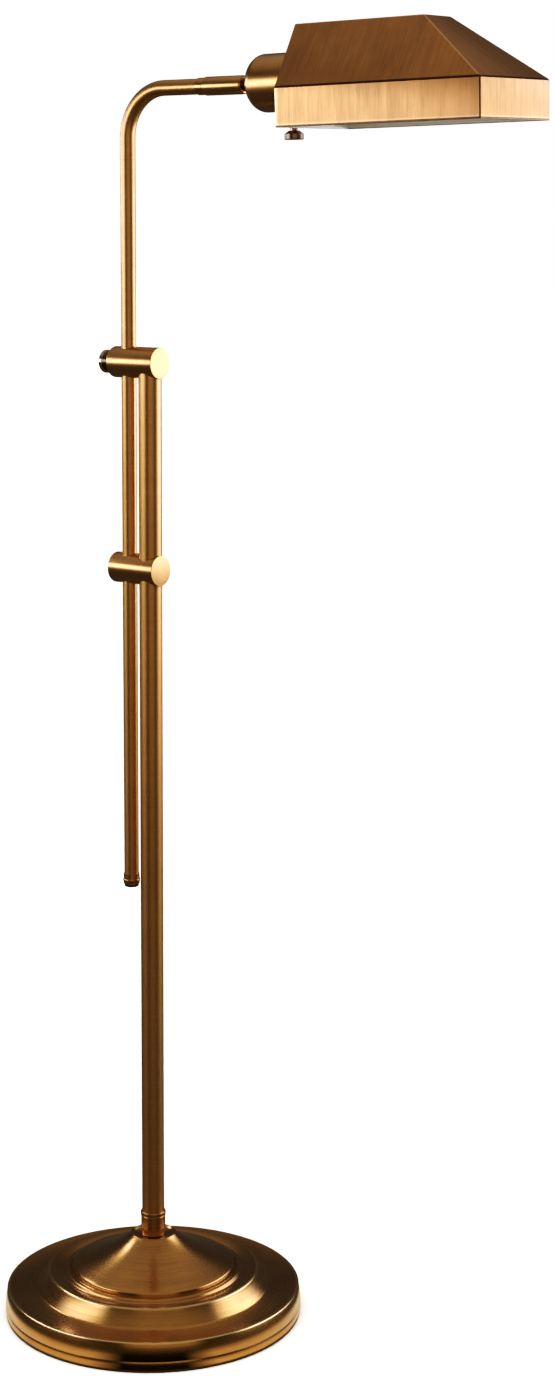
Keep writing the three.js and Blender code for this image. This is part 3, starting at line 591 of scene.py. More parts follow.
barrel("lower", LOWER_Z, cross_hole(POLE_HOLE, 0, -REACH, REACH),
       cross_hole(BUSH_HOLE, ARM_X, -REACH, REACH), side_hole(GRUB_HOLE, REACH))
barrel("upper", UPPER_Z, cross_hole(POLE_HOLE, 0, POLE_STOP, REACH),
       cross_hole(TUBE_HOLE, ARM_X, -REACH, REACH), side_hole(GRUB_HOLE, REACH),
       rod(CLAMP_HOLE, -REACH * 2, ARM_X, steps=SMALL_STEPS))

# %% [markdown]
# The grub screws have a hexagonal recess. An inset of the round end face, pushed in, would leave a
# round hole, so the recess is a six-sided rod taken away. The nylon bush lines the lower barrel's
# arm hole and shows as a pale ring at its mouth.

# %% Grub screws and guide bush
for name, height in (("lower", LOWER_Z), ("upper", UPPER_Z)):
    screw = drilled(rod(2.4, 0, 2.6, edge=0.25, steps=SMALL_STEPS), [rod(1.2, 1.2, 4, steps=6)])
    turn(f"{name}_set_screw", screw, upright(0, POLE_HOLE, height) @ ASIDE, "stand", "zinc_steel",
         f"{name}_grub_screw", zinc_steel)

turn("nylon_guide_bush", sleeve(TUBE_HOLE, 7.5, -10.8, 10.8), upright(ARM_X, 0, LOWER_Z), "bush",
     "nylon", "guide_bush", nylon)

# %% [markdown]
# ## Clamp
#
# The clamp is a screw with a dark knob whose outer rim was polished bright. Its thread is a short
# outline spun as a helix: each turn climbs by one pitch and meets the turn below, the ends are cut
# flat with planes, and caps close them. The bulb's screw base is made with the same helper.

# %% Threads
THREAD_WELD = 0.01


def cut(bm, point, normal, **cleared):
    """Cuts the mesh by a plane, and clears one side of it if that side is named."""
    everything = bm.verts[:] + bm.edges[:] + bm.faces[:]
    bmesh.ops.bisect_plane(bm, geom=everything, plane_co=point, plane_no=normal, **cleared)


def capped(bm):
    """Closes every open end with a flat face."""
    bmesh.ops.holes_fill(bm, edges=[edge for edge in bm.edges if edge.is_boundary], sides=0)


def threaded(root, crest, pitch, low, high, steps=36):
    """A threaded rod about +Z with flat ends."""
    middle = root + (crest - root) * 0.5
    bm = outline([
        (root, 0), (middle, pitch * 0.22), (crest, pitch * 0.42), (crest, pitch * 0.58),
        (middle, pitch * 0.78), (root, pitch)], closed=False)
    bmesh.ops.translate(bm, verts=bm.verts[:], vec=(0, 0, low - 2 * pitch))
    turns = math.ceil((high - low) / pitch) + 3
    bmesh.ops.spin(
        bm, geom=bm.verts[:] + bm.edges[:], cent=(0, 0, 0), axis=(0, 0, 1),
        dvec=(0, 0, pitch / steps), angle=2 * math.pi * turns, steps=steps * turns,
        use_merge=False, use_duplicate=False)
    bmesh.ops.remove_doubles(bm, verts=bm.verts[:], dist=THREAD_WELD)
    cut(bm, (0, 0, low), (0, 0, 1), clear_inner=True)
    cut(bm, (0, 0, high), (0, 0, 1), clear_outer=True)
    capped(bm)
    outward(bm)
    along = bm.verts.layers.float["along"]
    for vert in bm.verts:
        vert[along] = vert.co.z
    return bm


# %% Clamp pieces
turn("clamp_pressure_pad", rod(2.7, -32.8, -30, edge=0.3, steps=48), lying(z=UPPER_Z), "pad",
     "nylon", "clamp_pad", nylon)
turn("clamp_thread", threaded(2.45, 2.9, 1.0, -48.6, -33.1), lying(z=UPPER_Z), "clamp",
     "zinc_steel", "clamp_screw", zinc_steel)

knob = spun([
    (3.2, -48.4), (4.6, -50, 0.3), (9.1, -50, 0.3), (10, -49.1, 0.3), (10, -46.2, 0.3),
    (9.4, -45.8), (9.4, -40.2, 0.25), (8.6, -39.4, 0.3), (3.2, -39.4)])
KNOB_RIM = -45.9
for face in knob.faces:
    if face.calc_center_median().z < KNOB_RIM:
        face.material_index = 1
turn("clamp_thumb_knob", knob, lying(z=UPPER_Z), "clamp", "dark_bronze", "clamp_knob", dark_bronze,
     polished_rim)

# %% [markdown]
# ## Arm tube
#
# The arm is one drawn tube, bent a quarter turn near its top. A circle is extruded up, spun
# through the bend about its centre, and extruded level. Then the skin is given its wall. Its brush
# lines run round the tube, so the fast number of its grain is the distance travelled along it.

# %% Arm tube
ARM_BOTTOM = 398
BEND_RADIUS = 40
TUBE_END_X = 81
TUBE_RADIUS = 6.5
TUBE_WALL = 1.1
BEND_X = ARM_X + BEND_RADIUS
BEND_Z = ARM_Z - BEND_RADIUS


def run_of(bm, edges, move):
    """Extrudes the ring of edges by a move and returns the new ring."""
    pulled = bmesh.ops.extrude_edge_only(bm, edges=edges)["geom"]
    corners = [item for item in pulled if isinstance(item, bmesh.types.BMVert)]
    bmesh.ops.translate(bm, verts=corners, vec=move)
    return [item for item in pulled if isinstance(item, bmesh.types.BMEdge)
            and all(vert in corners for vert in item.verts)]


def distance_along(point):
    """How far along the arm tube a point is."""
    if point.z < BEND_Z:
        return point.z
    if point.x > BEND_X:
        return BEND_Z + BEND_RADIUS * math.pi / 2 + point.x - BEND_X
    return BEND_Z + BEND_RADIUS * math.atan2(point.z - BEND_Z, BEND_X - point.x)


def around(point):
    """The place on the tube's round section, as two slow numbers."""
    if point.z < BEND_Z:
        return point.x - ARM_X, point.y
    if point.x > BEND_X:
        return ARM_Z - point.z, point.y
    return BEND_RADIUS - math.hypot(point.z - BEND_Z, BEND_X - point.x), point.y


def walled(bm, wall):
    """Gives an open skin its wall."""
    bmesh.ops.solidify(bm, geom=bm.faces[:], thickness=wall)
    return outward(bm)


tube = bmesh.new()
bmesh.ops.create_circle(
    tube, cap_ends=False, segments=48, radius=TUBE_RADIUS,
    matrix=Matrix.Translation((ARM_X, 0, ARM_BOTTOM)))
ring = run_of(tube, tube.edges[:], (0, 0, BEND_Z - ARM_BOTTOM))
bent = bmesh.ops.spin(
    tube, geom=ring + list({vert for edge in ring for vert in edge.verts}),
    cent=(BEND_X, 0, BEND_Z), axis=(0, 1, 0), dvec=(0, 0, 0), angle=math.pi / 2, steps=28,
    use_merge=False, use_duplicate=False)
ring = [item for item in bent["geom_last"] if isinstance(item, bmesh.types.BMEdge)]
run_of(tube, ring, (TUBE_END_X - BEND_X, 0, 0))
bmesh.ops.remove_doubles(tube, verts=tube.verts[:], dist=WELD)
walled(outward(tube), TUBE_WALL)
grain = tube.verts.layers.float_vector.new("grain")
brush = tube.loops.layers.uv.new("brush")
for vert in tube.verts:
    vert[grain] = Vector((*around(vert.co), distance_along(vert.co))) * MM
for face in tube.faces:
    across, aside = around(face.calc_center_median())
    facing = math.atan2(aside, across)
    for loop in face.loops:
        across, aside = around(loop.vert.co)
        swing = wrapped(math.atan2(aside, across) - facing)
        travelled = distance_along(loop.vert.co)
        loop[brush].uv = (travelled * BRUSH_ALONG, (facing + swing) * BRUSH_AROUND)
place("bent_arm_tube", tube, upright(), "arm", "antique_brass", ["arm_tube"], [drawn_brass],
      sharp=40)

# %% [markdown]
# The lower end of the tube is finished with a ferrule, a small flared ring that slips over it, and
# a rubber gland that guards the cord's exit. On the level end come a plain ring and the housing of
# the ball swivel, a thimble with a rounded mouth that the ball looks out of.

# %% Ferrule, gland, ring and housing
ferrule = spun([
    (5.3, 395.6), (6.6, 395.6, 0.2), (7.1, 396.4), (7.5, 399.0, 0.3), (7.5, 400.2, 0.2),
    (7.15, 400.6), (6.95, 405.5), (6.8, 405.5), (6.8, 397.7), (5.3, 397.7)])
turn("turned_ferrule", ferrule, upright(ARM_X), "arm", "antique_brass", "arm_ferrule",
     antique_brass)

gland = spun([
    (3.1, 393.3, 0.4), *soft((4.7, 393.3), (6.5, 393.3), (6.5, 395.3), 6), (5.0, 395.3),
    (5.0, 397.7), (3.1, 397.7)], 48)
turn("rubber_gland", gland, upright(ARM_X), "arm", "rubber", "cord_gland", rubber)

turn("swivel_end_ring", sleeve(6.75, 7.1, 54.2, 61.8, edge=0.25), lying(z=ARM_Z), "arm",
     "antique_brass", "arm_ring", antique_brass)


def circle_part(radius, centre, start, end, steps):
    """Points of a circle about a place on the axis, from one angle to another in degrees."""
    span = [math.radians(start + (end - start) * step / steps) for step in range(steps + 1)]
    return [(radius * math.cos(angle), centre + radius * math.sin(angle)) for angle in span]


BALL_X = 97.6
MOUTH_X = 101.4
HOUSING_X = 62.1
HOUSING_RADIUS = 7.7
SOCKET_RADIUS = 6.55
mouth = math.degrees(math.asin((MOUTH_X - BALL_X) / SOCKET_RADIUS))
housing = spun([
    (6.75, HOUSING_X), (HOUSING_RADIUS, HOUSING_X, 0.3), (HOUSING_RADIUS, MOUTH_X, 1.85),
    *circle_part(SOCKET_RADIUS, BALL_X, mouth, 0, 8), (6.75, BALL_X - 0.5)])
turn("swivel_thimble", housing, lying(z=ARM_Z), "arm", "antique_brass", "swivel_housing", bar_brass)

# %% [markdown]
# ## Swivel ball and cup
#
# The ball, its neck and the stem behind it are one turned piece, bored for the wires. It is painted
# dark, as painted shade in the gap where it shows between the housing and the cup. The cup was
# spun: a shallow dome that runs into a straight wall, open toward the shade, with a hole underneath
# for the switch. Its open end follows the shade's leaning rear panel, so a plane trims it.

# %% Ball, stem nut and cup
BALL_RADIUS = 6.2
WIRE_BORE = 2.2
NECK_RADIUS = 3.2
STEM_RADIUS = 4.7
STEM_END = 23.5
ball = spun([
    *circle_part(BALL_RADIUS, 0, -math.degrees(math.acos(WIRE_BORE / BALL_RADIUS)),
                 math.degrees(math.acos(NECK_RADIUS / BALL_RADIUS)), 22),
    (NECK_RADIUS, 8.1), (STEM_RADIUS, 8.4, 0.2), (STEM_RADIUS, STEM_END, 0.4),
    (WIRE_BORE, STEM_END)])
# The ball takes the near-black brass: painted shade of the gap between the housing and the cup.
turn("swivel_ball_and_stem", ball, HEAD_LYING, "ball", "plain_brass", "swivel_ball", painted_shade_brass)
turn("stem_lock_nut", sleeve(5.0, 6.0, 8.7, 11.1, edge=0.35), HEAD_LYING, "head", "antique_brass",
     "stem_nut", antique_brass)

CUP_POLE = 11.4
CUP_DEPTH = 15.6
CUP_RADIUS = 23.15
CUP_WALL = 1
CUP_END = 70.5
CUP_SPARE = 74
CUP_HOLE = 5.0
SWITCH_X = 52.6
LEAN = 0.032


def dome(radius, depth, hole, steps=22):
    """The rear of the cup, from the stem hole out to the straight wall."""
    start = -math.acos(hole / radius)
    span = [start * (1 - step / steps) for step in range(steps + 1)]
    rim = CUP_POLE + CUP_DEPTH
    return [(radius * math.cos(angle), rim + depth * math.sin(angle)) for angle in span]


cup = spun([
    *dome(CUP_RADIUS, CUP_DEPTH, CUP_HOLE), (CUP_RADIUS, CUP_SPARE),
    (CUP_RADIUS - CUP_WALL, CUP_SPARE),
    *reversed(dome(CUP_RADIUS - CUP_WALL, CUP_DEPTH - CUP_WALL, CUP_HOLE))], 128)
cup = drilled(cup, [cross_hole(3.4, SWITCH_X, 0, 30, steps=48)])
cut(cup, (0, 0, CUP_END), (-LEAN, 0, 1), clear_outer=True)
bmesh.ops.bridge_loops(cup, edges=[edge for edge in cup.edges if edge.is_boundary])
turn("spun_socket_cup", outward(cup), HEAD_LYING, "head", "antique_brass", "socket_cup",
     bar_brass, sharp=35)

# %% [markdown]
# ## Socket and bulb
#
# The lamp holder is a moulded phenolic body that fills the cup and looks into the shade through the
# rear panel, clamped there by a shade ring. Inside it are a thin brass shell and the contact.

# %% Socket body, shell and ring
body = spun([
    (5.0, 17, 0.3), (9, 17, 0.5), (9, 24.5), (19.5, 24.5, 1.2), (19.5, 66, 0.6), (17.5, 66),
    (17.5, 80, 0.6), (14.3, 80, 0.5), (14.3, 40), (5.0, 36)])
SHAFT_HOLE = 1.7
body = drilled(body, [cross_hole(SHAFT_HOLE, SWITCH_X, 15.3, 30, steps=SMALL_STEPS)])
turn("moulded_lamp_holder", body, HEAD_LYING, "head", "phenolic", "socket_body", phenolic)
turn("lamp_holder_screw_shell", sleeve(13.4, 13.9, 40.3, 68, edge=0.15), HEAD_LYING, "head",
     "plain_brass", "socket_screw_shell", plain_brass)

RING_RIBS = 40
RING_RADIUS = 23


def rim_faces(bm, radius):
    """The faces outside a radius, in their order round the axis."""
    rim = [face for face in bm.faces if math.hypot(*face.calc_center_median().xy) > radius]
    return sorted(rim, key=lambda face: math.atan2(*face.calc_center_median().yx))


shade_ring = sleeve(17.8, RING_RADIUS, 73.0, 76.4, edge=0.4, steps=RING_RIBS * 3)
grips = rim_faces(shade_ring, RING_RADIUS - 0.1)[::3]
bmesh.ops.inset_individual(shade_ring, faces=grips, thickness=0.2, depth=-0.5)
turn("shade_clamping_ring", shade_ring, HEAD_LYING, "head", "phenolic", "shade_ring", phenolic)

# %% [markdown]
# The bulb is a frosted glass pear on a threaded base. The outline of the glass runs up the outside
# and back down the inside.

# %% Bulb
BASE_RADIUS = 12.2
BASE_LOW = 46.6
GLASS_LOW = 68.3
bulb_screw = threaded(BASE_RADIUS, 13.0, 3.6, BASE_LOW, 68.0, steps=64)
bulb_tip = rod(BASE_RADIUS, 42.4, BASE_LOW, edge=3.6, steps=64)
tip_mesh = bpy.data.meshes.new("bulb_tip")
bulb_tip.to_mesh(tip_mesh)
bulb_tip.free()
bulb_screw.from_mesh(tip_mesh)
bpy.data.meshes.remove(tip_mesh)
turn("bulb_screw_base", bulb_screw, HEAD_LYING, "head", "plain_brass", "bulb_base", zinc_steel)

GLOBE_RADIUS = 30
GLOBE_CENTRE = 121
GLOBE_START = -45.5
glass = spun([
    (12.8, GLASS_LOW), *soft((13.2, 74), (14.6, 88), (21.0, 98.6), 12),
    *circle_part(GLOBE_RADIUS, GLOBE_CENTRE, GLOBE_START, 90, 30)[1:],
    *circle_part(GLOBE_RADIUS - 1, GLOBE_CENTRE, 90, GLOBE_START, 18),
    *soft((20.0, 98.9), (13.6, 88), (12.0, 74), 8), (11.8, GLASS_LOW)])
turn("frosted_bulb_glass", glass, HEAD_LYING, "head", "opal_glass", "bulb_glass", opal_glass)

# %% [markdown]
# ## Switch
#
# A turn-knob switch hangs under the cup: a threaded bush with a round nut, a thin shaft, and a dark
# knob with a neck, a cone and a knurled rim. The knurl is made as on a lathe, groove by groove:
# two of every four faces of the rim are inset together and pushed in.

# %% Switch pieces
SWITCH = HEAD @ Matrix.Translation((SWITCH_X, 0, 0))
switch_bush = drilled(
    threaded(2.8, 3.1, 0.8, -33, -19.9, steps=SMALL_STEPS),
    [rod(SHAFT_HOLE, -36, -16, steps=SMALL_STEPS)])
turn("switch_threaded_bush", switch_bush, SWITCH, "head", "plain_brass", "switch_bush",
     brown_bronze)
turn("switch_round_nut", sleeve(3.4, 5.0, -25.45, -23.45, edge=0.3), SWITCH, "head", "dark_bronze",
     "switch_nut", brown_bronze)
turn("switch_turn_shaft", rod(1.4, -43.0, -15.6, edge=0.3, steps=SMALL_STEPS), SWITCH, "switch",
     "zinc_steel", "switch_shaft", zinc_steel)

KNURLS = 30
RIM_RADIUS = 7.75
switch_knob = spun([
    (0.0, -43.3), (SHAFT_HOLE, -43.3), (SHAFT_HOLE, -34), (3.1, -34, 0.3), (3.1, -38.1),
    (4.4, -38.1, 0.4), (7.15, -40.3, 0.3), (RIM_RADIUS, -40.7), (RIM_RADIUS, -44.8),
    (7.2, -45.3, 0.2), (0, -45.3)], KNURLS * 4)
rim = [face for face in rim_faces(switch_knob, RIM_RADIUS - 0.15) if abs(face.normal.z) < 0.1]
grooves = [face for index, face in enumerate(rim) if index % 4 < 2]
bmesh.ops.inset_region(
    switch_knob, faces=grooves, thickness=0.12, depth=-0.55, use_boundary=True,
    use_even_offset=True)
turn("switch_knurled_knob", switch_knob, SWITCH, "switch", "dark_bronze", "switch_knob",
     brown_bronze, sharp=25)

# %% [markdown]
# ## Shade
#
# The shade is sheet brass, folded into a level skirt under a sloping roof with a flat ridge. A cube
# becomes the skirt, its top face is extruded and drawn in to make the roof, the underside and the
# rear are taken off, the folds are bevelled to the small radius a bending brake leaves, and the
# sheet is given its wall. The sharp folds and the hem are painted dark as painted shade, while the
# hips and the margins of the sheet are lightened, partly as wear and partly as painted highlight:
# the wear_and_highlight attribute marks them.

# %% Sheet blocks
SHADE_REAR = 71.5
SHADE_FRONT = 260.7
SHADE_HALF = 49.6
SHADE_BOTTOM = -37.1
SHADE_FOLD = -6.2
SHADE_TOP = 43.2
RIDGE_FRONT = 191.0
RIDGE_HALF = 18.5
LEAN_AT_FOLD = 0.5
LEAN_AT_TOP = 2.1


def roofed_block(inset, low=SHADE_BOTTOM):
    """A closed block of the shade's form, its sides, front and top moved inward by the inset."""
    bm = bmesh.new()
    back, front = SHADE_REAR, SHADE_FRONT - inset
    half, fold, top = SHADE_HALF - inset, SHADE_FOLD - inset * 0.4, SHADE_TOP - inset
    bmesh.ops.create_cube(bm, size=1.0)
    bmesh.ops.scale(bm, vec=(front - back, half * 2, fold - low), verts=bm.verts[:])
    bmesh.ops.translate(bm, vec=((front + back) / 2, 0, (fold + low) / 2), verts=bm.verts[:])
    lid = max(bm.faces, key=lambda face: face.calc_center_median().z)
    raised = bmesh.ops.extrude_face_region(bm, geom=[lid])["geom"]
    bmesh.ops.delete(bm, geom=[lid], context="FACES_ONLY")
    crown = [item for item in raised if isinstance(item, bmesh.types.BMVert)]
    ridge_front, ridge_half = RIDGE_FRONT - inset * 0.32, RIDGE_HALF - inset * 0.55
    centre = Matrix.Translation((-(front + back) / 2, 0, 0))
    bmesh.ops.scale(
        bm, vec=((ridge_front - back) / (front - back), ridge_half / half, 1), space=centre,
        verts=crown)
    bmesh.ops.translate(bm, vec=((ridge_front - front) / 2, 0, top - fold), verts=crown)
    for height, lean in ((fold, LEAN_AT_FOLD), (top, LEAN_AT_TOP)):
        leaning = [vert for vert in bm.verts
                   if abs(vert.co.z - height) < 0.01 and abs(vert.co.x - back) < 0.01]
        bmesh.ops.translate(bm, vec=(-lean, 0, 0), verts=leaning)
    return outward(bm)


def sheet_grain(bm):
    """Brush lines that run down the skirt and down the slopes of the roof."""
    grain = bm.loops.layers.float_vector.new("grain")
    brush = bm.loops.layers.uv.new("brush")
    bm.normal_update()
    for face in bm.faces:
        endwise = abs(face.normal.x) > abs(face.normal.y)
        level = abs(face.normal.z) > 0.95
        for loop in face.loops:
            x, y, z = loop.vert.co
            fast, slow = (y, z) if endwise and not level else (x, y if level else z)
            loop[grain] = Vector((slow, 40.0 * endwise, fast)) * MM
            loop[brush].uv = (fast * BRUSH_ALONG, slow * BRUSH_ALONG)


# %% Folded shade


def softened(bm, edges, offset, segments):
    """Rounds the edges, and returns the new faces."""
    return bmesh.ops.bevel(
        bm, geom=edges, offset=offset, offset_type="OFFSET", segments=segments, profile=0.5,
        affect="EDGES", material=-1, clamp_overlap=True)["faces"]


def folded(inset, low, radius):
    """The open sheet: skirt and roof without the rear and the underside, with soft folds."""
    bm = roofed_block(inset, low)
    gone = [face for face in bm.faces if face.normal.x < -0.9 or face.normal.z < -0.9]
    bmesh.ops.delete(bm, geom=gone, context="FACES")
    folds = [edge for edge in bm.edges if not edge.is_boundary]
    bends = set(softened(bm, folds, radius, 6))
    wear_and_highlight = bm.verts.layers.float.new("wear_and_highlight")
    # Bend faces on the hips are lightened a little: partly wear, partly painted highlight.
    for vert in bm.verts:
        if vert.link_faces and all(face in bends for face in vert.link_faces):
            vert[wear_and_highlight] = 0.4
    # The level and upright folds take the near-black brass: painted shade in the creases.
    for face in bends:
        level_fold = abs(face.calc_center_median().z - SHADE_FOLD) < radius * 1.3
        upright_fold = abs(face.normal.z) < 0.2
        face.material_index = 1 if level_fold or upright_fold else 0
    return outward(bm)


def worn_and_highlit_margin(bm, point, inward, width):
    """Lightens the sheet along an open edge, fading over a width: partly wear, partly painted
    highlight.
    """
    wear_and_highlight = bm.verts.layers.float["wear_and_highlight"]
    inward = Vector(inward)
    cut(bm, Vector(point) + inward * width, inward)
    for vert in bm.verts:
        if (vert.co - Vector(point)).dot(inward) < width * 0.3 and vert.co.z < SHADE_FOLD:
            vert[wear_and_highlight] = 1.0


HEM_HEIGHT = 1.6
SHEET_WALL = 1.15
shade = folded(0.0, SHADE_BOTTOM, 1.0)
# The bottom and rear margins are lightened: a painted highlight along the edge, partly wear.
worn_and_highlit_margin(shade, (0, 0, SHADE_BOTTOM), (0, 0, 1), 3.2)
worn_and_highlit_margin(shade, (SHADE_REAR - LEAN_AT_FOLD / 2, 0, 0), (1, 0, 0), 3.0)
cut(shade, (0, 0, SHADE_BOTTOM + HEM_HEIGHT), (0, 0, 1))
walled(shade, SHEET_WALL)
hem = [edge for edge in shade.edges
       if all(abs(vert.co.z - SHADE_BOTTOM) < 0.02 for vert in edge.verts)
       and edge.calc_face_angle(0) > 1]
softened(shade, hem, 0.4, 3)
# The hem takes the near-black brass: painted shade along the underside of the bottom edge.
for face in shade.faces:
    if face.calc_center_median().z < SHADE_BOTTOM + HEM_HEIGHT:
        face.material_index = 1
sheet_grain(shade)
place("folded_shade", shade, HEAD, "head", "antique_brass", ["shade_shell"],
      [sheet_brass, painted_shade_brass], sharp=35)

# %% [markdown]
# The inside of the shade is painted white. The paint is a skin of its own over the sheet, a little
# short of the hem, and it lies in the shade's own shadow, so it looks grey.

# %% Enamel inside the shade
skin = walled(folded(1.2, SHADE_BOTTOM + 0.6, 0.6), 0.18)
for face in skin.faces:
    face.material_index = 0
place("shade_enamel_skin", skin, HEAD, "head", "white_enamel", [], [white_enamel], sharp=35)

# %% [markdown]
# The rear of the shade is a flat panel let into it: the same block once more, drawn in by a little
# more than the sheet's thickness and cut off by a leaning plane. Its inner side is painted.

# %% Rear panel
PANEL_WALL = 1.2
PANEL_INSET = 1.5
panel = roofed_block(PANEL_INSET)
cut(panel, (SHADE_REAR + PANEL_WALL, 0, SHADE_BOTTOM), (1, 0, LEAN), clear_outer=True)
capped(panel)
softened(panel, panel.edges[:], 0.2, 2)
panel = drilled(panel, [cross_hole(18.1, 0, 60, 90)])
for face in panel.faces:
    face.material_index = 1 if face.normal.x > 0.9 else 0
sheet_grain(panel)
place("shade_rear_plate", panel, HEAD, "head", "antique_brass", ["shade_rear_panel"],
      [sheet_brass, white_enamel], sharp=35)

# %% [markdown]
# ## Hidden pieces
#
# The cast weight, the tie that clamps base, collar and pole, the swivel's spring and seat, and the
# cup's nut and contact are inside. Their CAD shapes are right, so they only get their finishes.

# %% Finishes for the hidden pieces
hidden = {
    "base_weight": cast_iron, "tie_nut": zinc_steel, "tie_washer": zinc_steel,
    "tie_tube": zinc_steel, "pole_insert": plain_brass, "swivel_spring": zinc_steel,
    "swivel_seat": nylon, "cup_nut": zinc_steel, "socket_contact": plain_brass,
}
for name, finish in hidden.items():
    node = frame["nodes"][name]
    for material_slot in node.material_slots:
        material_slot.material = finish
print("hidden pieces:", ", ".join(hidden))

# %% [markdown]
# ## Studio
#
# Polished metal is drawn by what it mirrors. The floor is a pale matt sheet that the metal doesn't
# mirror, so that each band of light on it can be set by a card of its own.

# %% Floor
FLOOR_HALF = 40.0


def card_mesh(half):
    """A level square about the origin."""
    bm = bmesh.new()
    bmesh.ops.create_grid(bm, x_segments=1, y_segments=1, size=half)
    return bm


floor_paint = new_material(
    "pale_floor", Roughness=0.9, Specular_IOR_Level=0.0, Base_Color=shade_of(0.9, 0.9, 0.9))[0]
floor = linked_object("floor", card_mesh(FLOOR_HALF), [floor_paint])
floor.visible_glossy = False
floor.visible_diffuse = False
print("floor:", FLOOR_HALF * 2, "m square")

# %% [markdown]
# The lights are cards whose glow is even in the middle and fades to nothing at the edges. They
# stand to the left in front of the lamp and to the right behind it, so each pole shows a light band
# on either side of a dark middle. Only shiny surfaces see them, so the floor stays evenly lit.

# %% Soft light cards


def bare_tree(owner):
    """The node tree of a material or a world, emptied."""
    owner.use_nodes = True
    owner.node_tree.nodes.clear()
    return owner.node_tree


def only_mirrored(made):
    """Hides a light-giving object from everything but reflections."""
    made.visible_camera = False
    made.visible_diffuse = False
    made.visible_shadow = False


def glow_paint(name, radiance, plateau, colour):
    """Light that is even in the middle of a card and fades to nothing at its edges."""
    made = bpy.data.materials.new(name)
    tree = bare_tree(made)
    place = add(tree, "ShaderNodeTexCoord").outputs["Object"]
    parts = add(tree, "ShaderNodeSeparateXYZ", {"Vector": place}).outputs
    fades = []
    for part in (parts["X"], parts["Y"]):
        size = maths(tree, "ABSOLUTE", part, 0.0)
        fade = add(
            tree, "ShaderNodeMapRange", {0: size, 1: 1.0, 2: plateau},
            interpolation_type="SMOOTHSTEP")
        fades.append(fade.outputs[0])
    even = maths(tree, "MULTIPLY", fades[0], fades[1])
    strength = maths(tree, "MULTIPLY", even, radiance)
    light = add(tree, "ShaderNodeEmission", {"Color": colour, "Strength": strength})
    add(tree, "ShaderNodeOutputMaterial", {"Surface": light.outputs[0]})
    return made


WHITE = shade_of(1.0, 1.0, 1.0)
WARM = shade_of(1.0, 0.82, 0.5)


def light_card(name, position, target, width, height, radiance, plateau=0.35, colour=WHITE):
    """A card at a position that faces its target."""
    made = linked_object(
        name, card_mesh(1.0), [glow_paint(name + "_glow", radiance, plateau, colour)])
    toward = Vector(target) - Vector(position)
    turn_to = toward.to_track_quat("-Z", "Y").to_matrix().to_4x4()
    size = Matrix.Diagonal((width / 2, height / 2, 1, 1))
    made.matrix_world = Matrix.Translation(position) @ turn_to @ size
    only_mirrored(made)
    print(f"{name}: {width} by {height} m")


light_card("left_card", (-1.1, -1.3, 1.04), (0, 0, 1.04), 2.3, 0.85, 3.7)
light_card("left_rear_card", (-1.33, -0.14, 1.12), (0, 0, 0.1), 0.7, 0.6, 5.0)
light_card("right_card", (1.1, 1.3, 0.82), (0, 0, 0.82), 2.8, 1.2, 3.5, plateau=0.2)
light_card("right_high_card", (1.1, 1.3, 1.25), (0, 0, 1.2), 2.4, 0.6, 3.0)
light_card("camera_side_card", (2.2, -2.1, 0.98), (0, 0, 0.98), 4.2, 2.3, 0.5, plateau=0.5,
           colour=WARM)

# %% [markdown]
# The lit floor around the base shows in the rounded foot, all round except toward the camera. The
# floor itself is hidden from mirrors, so a thin ring of light lies on it in its place.

# %% Floor glow
TOWARD_CAMERA = Vector((0.643, -0.766, 0))
GLOW_INNER = 135.5
GLOW_OUTER = 175
GLOW_STRENGTH = 0.8
ring_paint = bpy.data.materials.new("floor_glow")
tree = bare_tree(ring_paint)
spot = add(tree, "ShaderNodeTexCoord").outputs["Object"]
away = add(tree, "ShaderNodeVectorMath", {0: spot}, operation="LENGTH").outputs["Value"]
forward = add(tree, "ShaderNodeVectorMath", {0: spot, 1: TOWARD_CAMERA}, operation="DOT_PRODUCT")
facing = maths(tree, "DIVIDE", forward.outputs["Value"], away)
open_side = spread(tree, facing, 0.9, 0.975, 1.0, 0.0)
fading = spread(tree, away, 0.146, 0.17, GLOW_STRENGTH, 0.0)
strength = maths(tree, "MULTIPLY", open_side, fading)
ring_light = add(tree, "ShaderNodeEmission", {"Color": WARM, "Strength": strength})
add(tree, "ShaderNodeOutputMaterial", {"Surface": ring_light.outputs[0]})
glow_ring = spun([(GLOW_INNER, 0.8), (GLOW_OUTER, 0.8), (GLOW_OUTER, 1.0), (GLOW_INNER, 1.0)])
only_mirrored(linked_object("floor_glow", moved(glow_ring, upright()), [ring_paint]))
print("floor glow:", GLOW_INNER, "to", GLOW_OUTER, "mm from the axis")

# %% [markdown]
# A broad sun overhead lights the floor. It is kept out of mirrors, because its own highlights
# would spoil the bands that the cards draw.

# %% Overhead light
sun = bpy.data.lights.new("overhead", "SUN")
sun.energy = 3.4
sun.angle = math.radians(70)
sun_object = bpy.data.objects.new("overhead", sun)
sun_object.rotation_euler = (math.radians(12), math.radians(8), 0)
sun_object.visible_glossy = False
scene.collection.objects.link(sun_object)
print("overhead light:", sun.energy, "W/m2")

# %% [markdown]
# The rest of the room is dim and warm: a faint glow overhead and near dark at eye level. Matt
# surfaces get a little extra fill, and the camera sees a plain white backdrop instead.

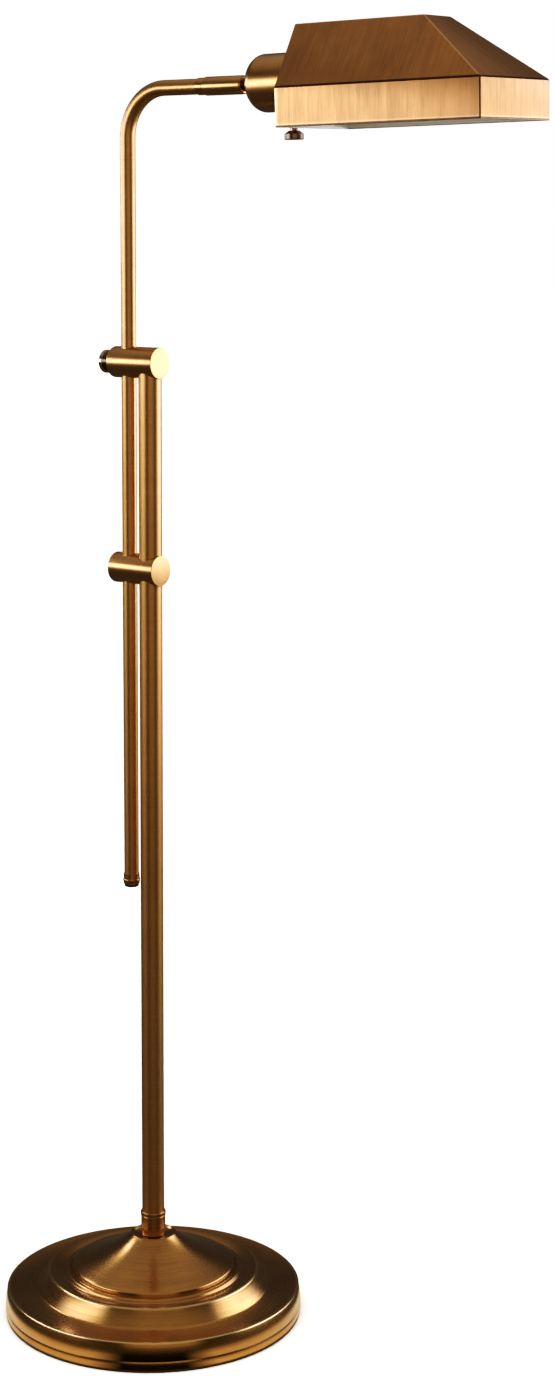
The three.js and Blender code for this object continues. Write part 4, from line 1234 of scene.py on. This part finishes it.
# %% World
ROOM_WARM = shade_of(1.0, 0.87, 0.62)
DULL_FILL = 0.22
world = bpy.data.worlds.new("studio")
scene.world = world
tree = bare_tree(world)
direction = add(tree, "ShaderNodeTexCoord").outputs["Generated"]
height = add(tree, "ShaderNodeSeparateXYZ", {"Vector": direction}).outputs["Z"]
overhead_glow = spread(tree, height, 0.45, 0.85, 0.05, 0.34)
paths = add(tree, "ShaderNodeLightPath").outputs
fill = maths(tree, "MULTIPLY", paths["Is Diffuse Ray"], DULL_FILL)
dim = maths(tree, "ADD", overhead_glow, fill)
surroundings = add(tree, "ShaderNodeBackground", {"Color": ROOM_WARM, "Strength": dim})
backdrop = add(tree, "ShaderNodeBackground", {"Color": WHITE, "Strength": 1.0})
mixed = add(tree, "ShaderNodeMixShader", {
    0: paths["Is Camera Ray"], 1: surroundings.outputs[0], 2: backdrop.outputs[0]})
add(tree, "ShaderNodeOutputWorld", {"Surface": mixed.outputs[0]})
print("world nodes:", len(tree.nodes))

# %% [markdown]
# The camera stands in front and to the right of the lamp at about two thirds of its height, tipped
# down a little, far enough back that the lamp keeps its upright lines.

# %% Camera
camera_data = bpy.data.cameras.new("camera")
camera_data.lens = 65.297
camera_data.sensor_width = 36
camera = bpy.data.objects.new("camera", camera_data)
camera.matrix_world = (
    Matrix.Translation((1.3852, -1.6581, 0.9598))
    @ Matrix.Rotation(math.radians(36.946), 4, "Z")
    @ Matrix.Rotation(math.radians(79.758), 4, "X")
    @ Matrix.Rotation(math.radians(0.2945), 4, "Z"))
scene.collection.objects.link(camera)
scene.camera = camera
print("camera at", [round(value, 3) for value in camera.matrix_world.translation])

# %% [markdown]
# A gentle contrast curve, like a paper print's, deepens the shadows and rolls off the highlights,
# so the bright bands of the brass pale toward cream.

# %% Print curve
ALL_CHANNELS = 3
view = scene.view_settings
view.view_transform = "Standard"
view.use_curve_mapping = True
curve = view.curve_mapping.curves[ALL_CHANNELS]
for level, result in ((0.02, 0.017), (0.06, 0.062), (0.12, 0.15), (0.25, 0.34), (0.5, 0.64)):
    curve.points.new(level, result)
view.curve_mapping.update()
print("print curve points:", len(curve.points))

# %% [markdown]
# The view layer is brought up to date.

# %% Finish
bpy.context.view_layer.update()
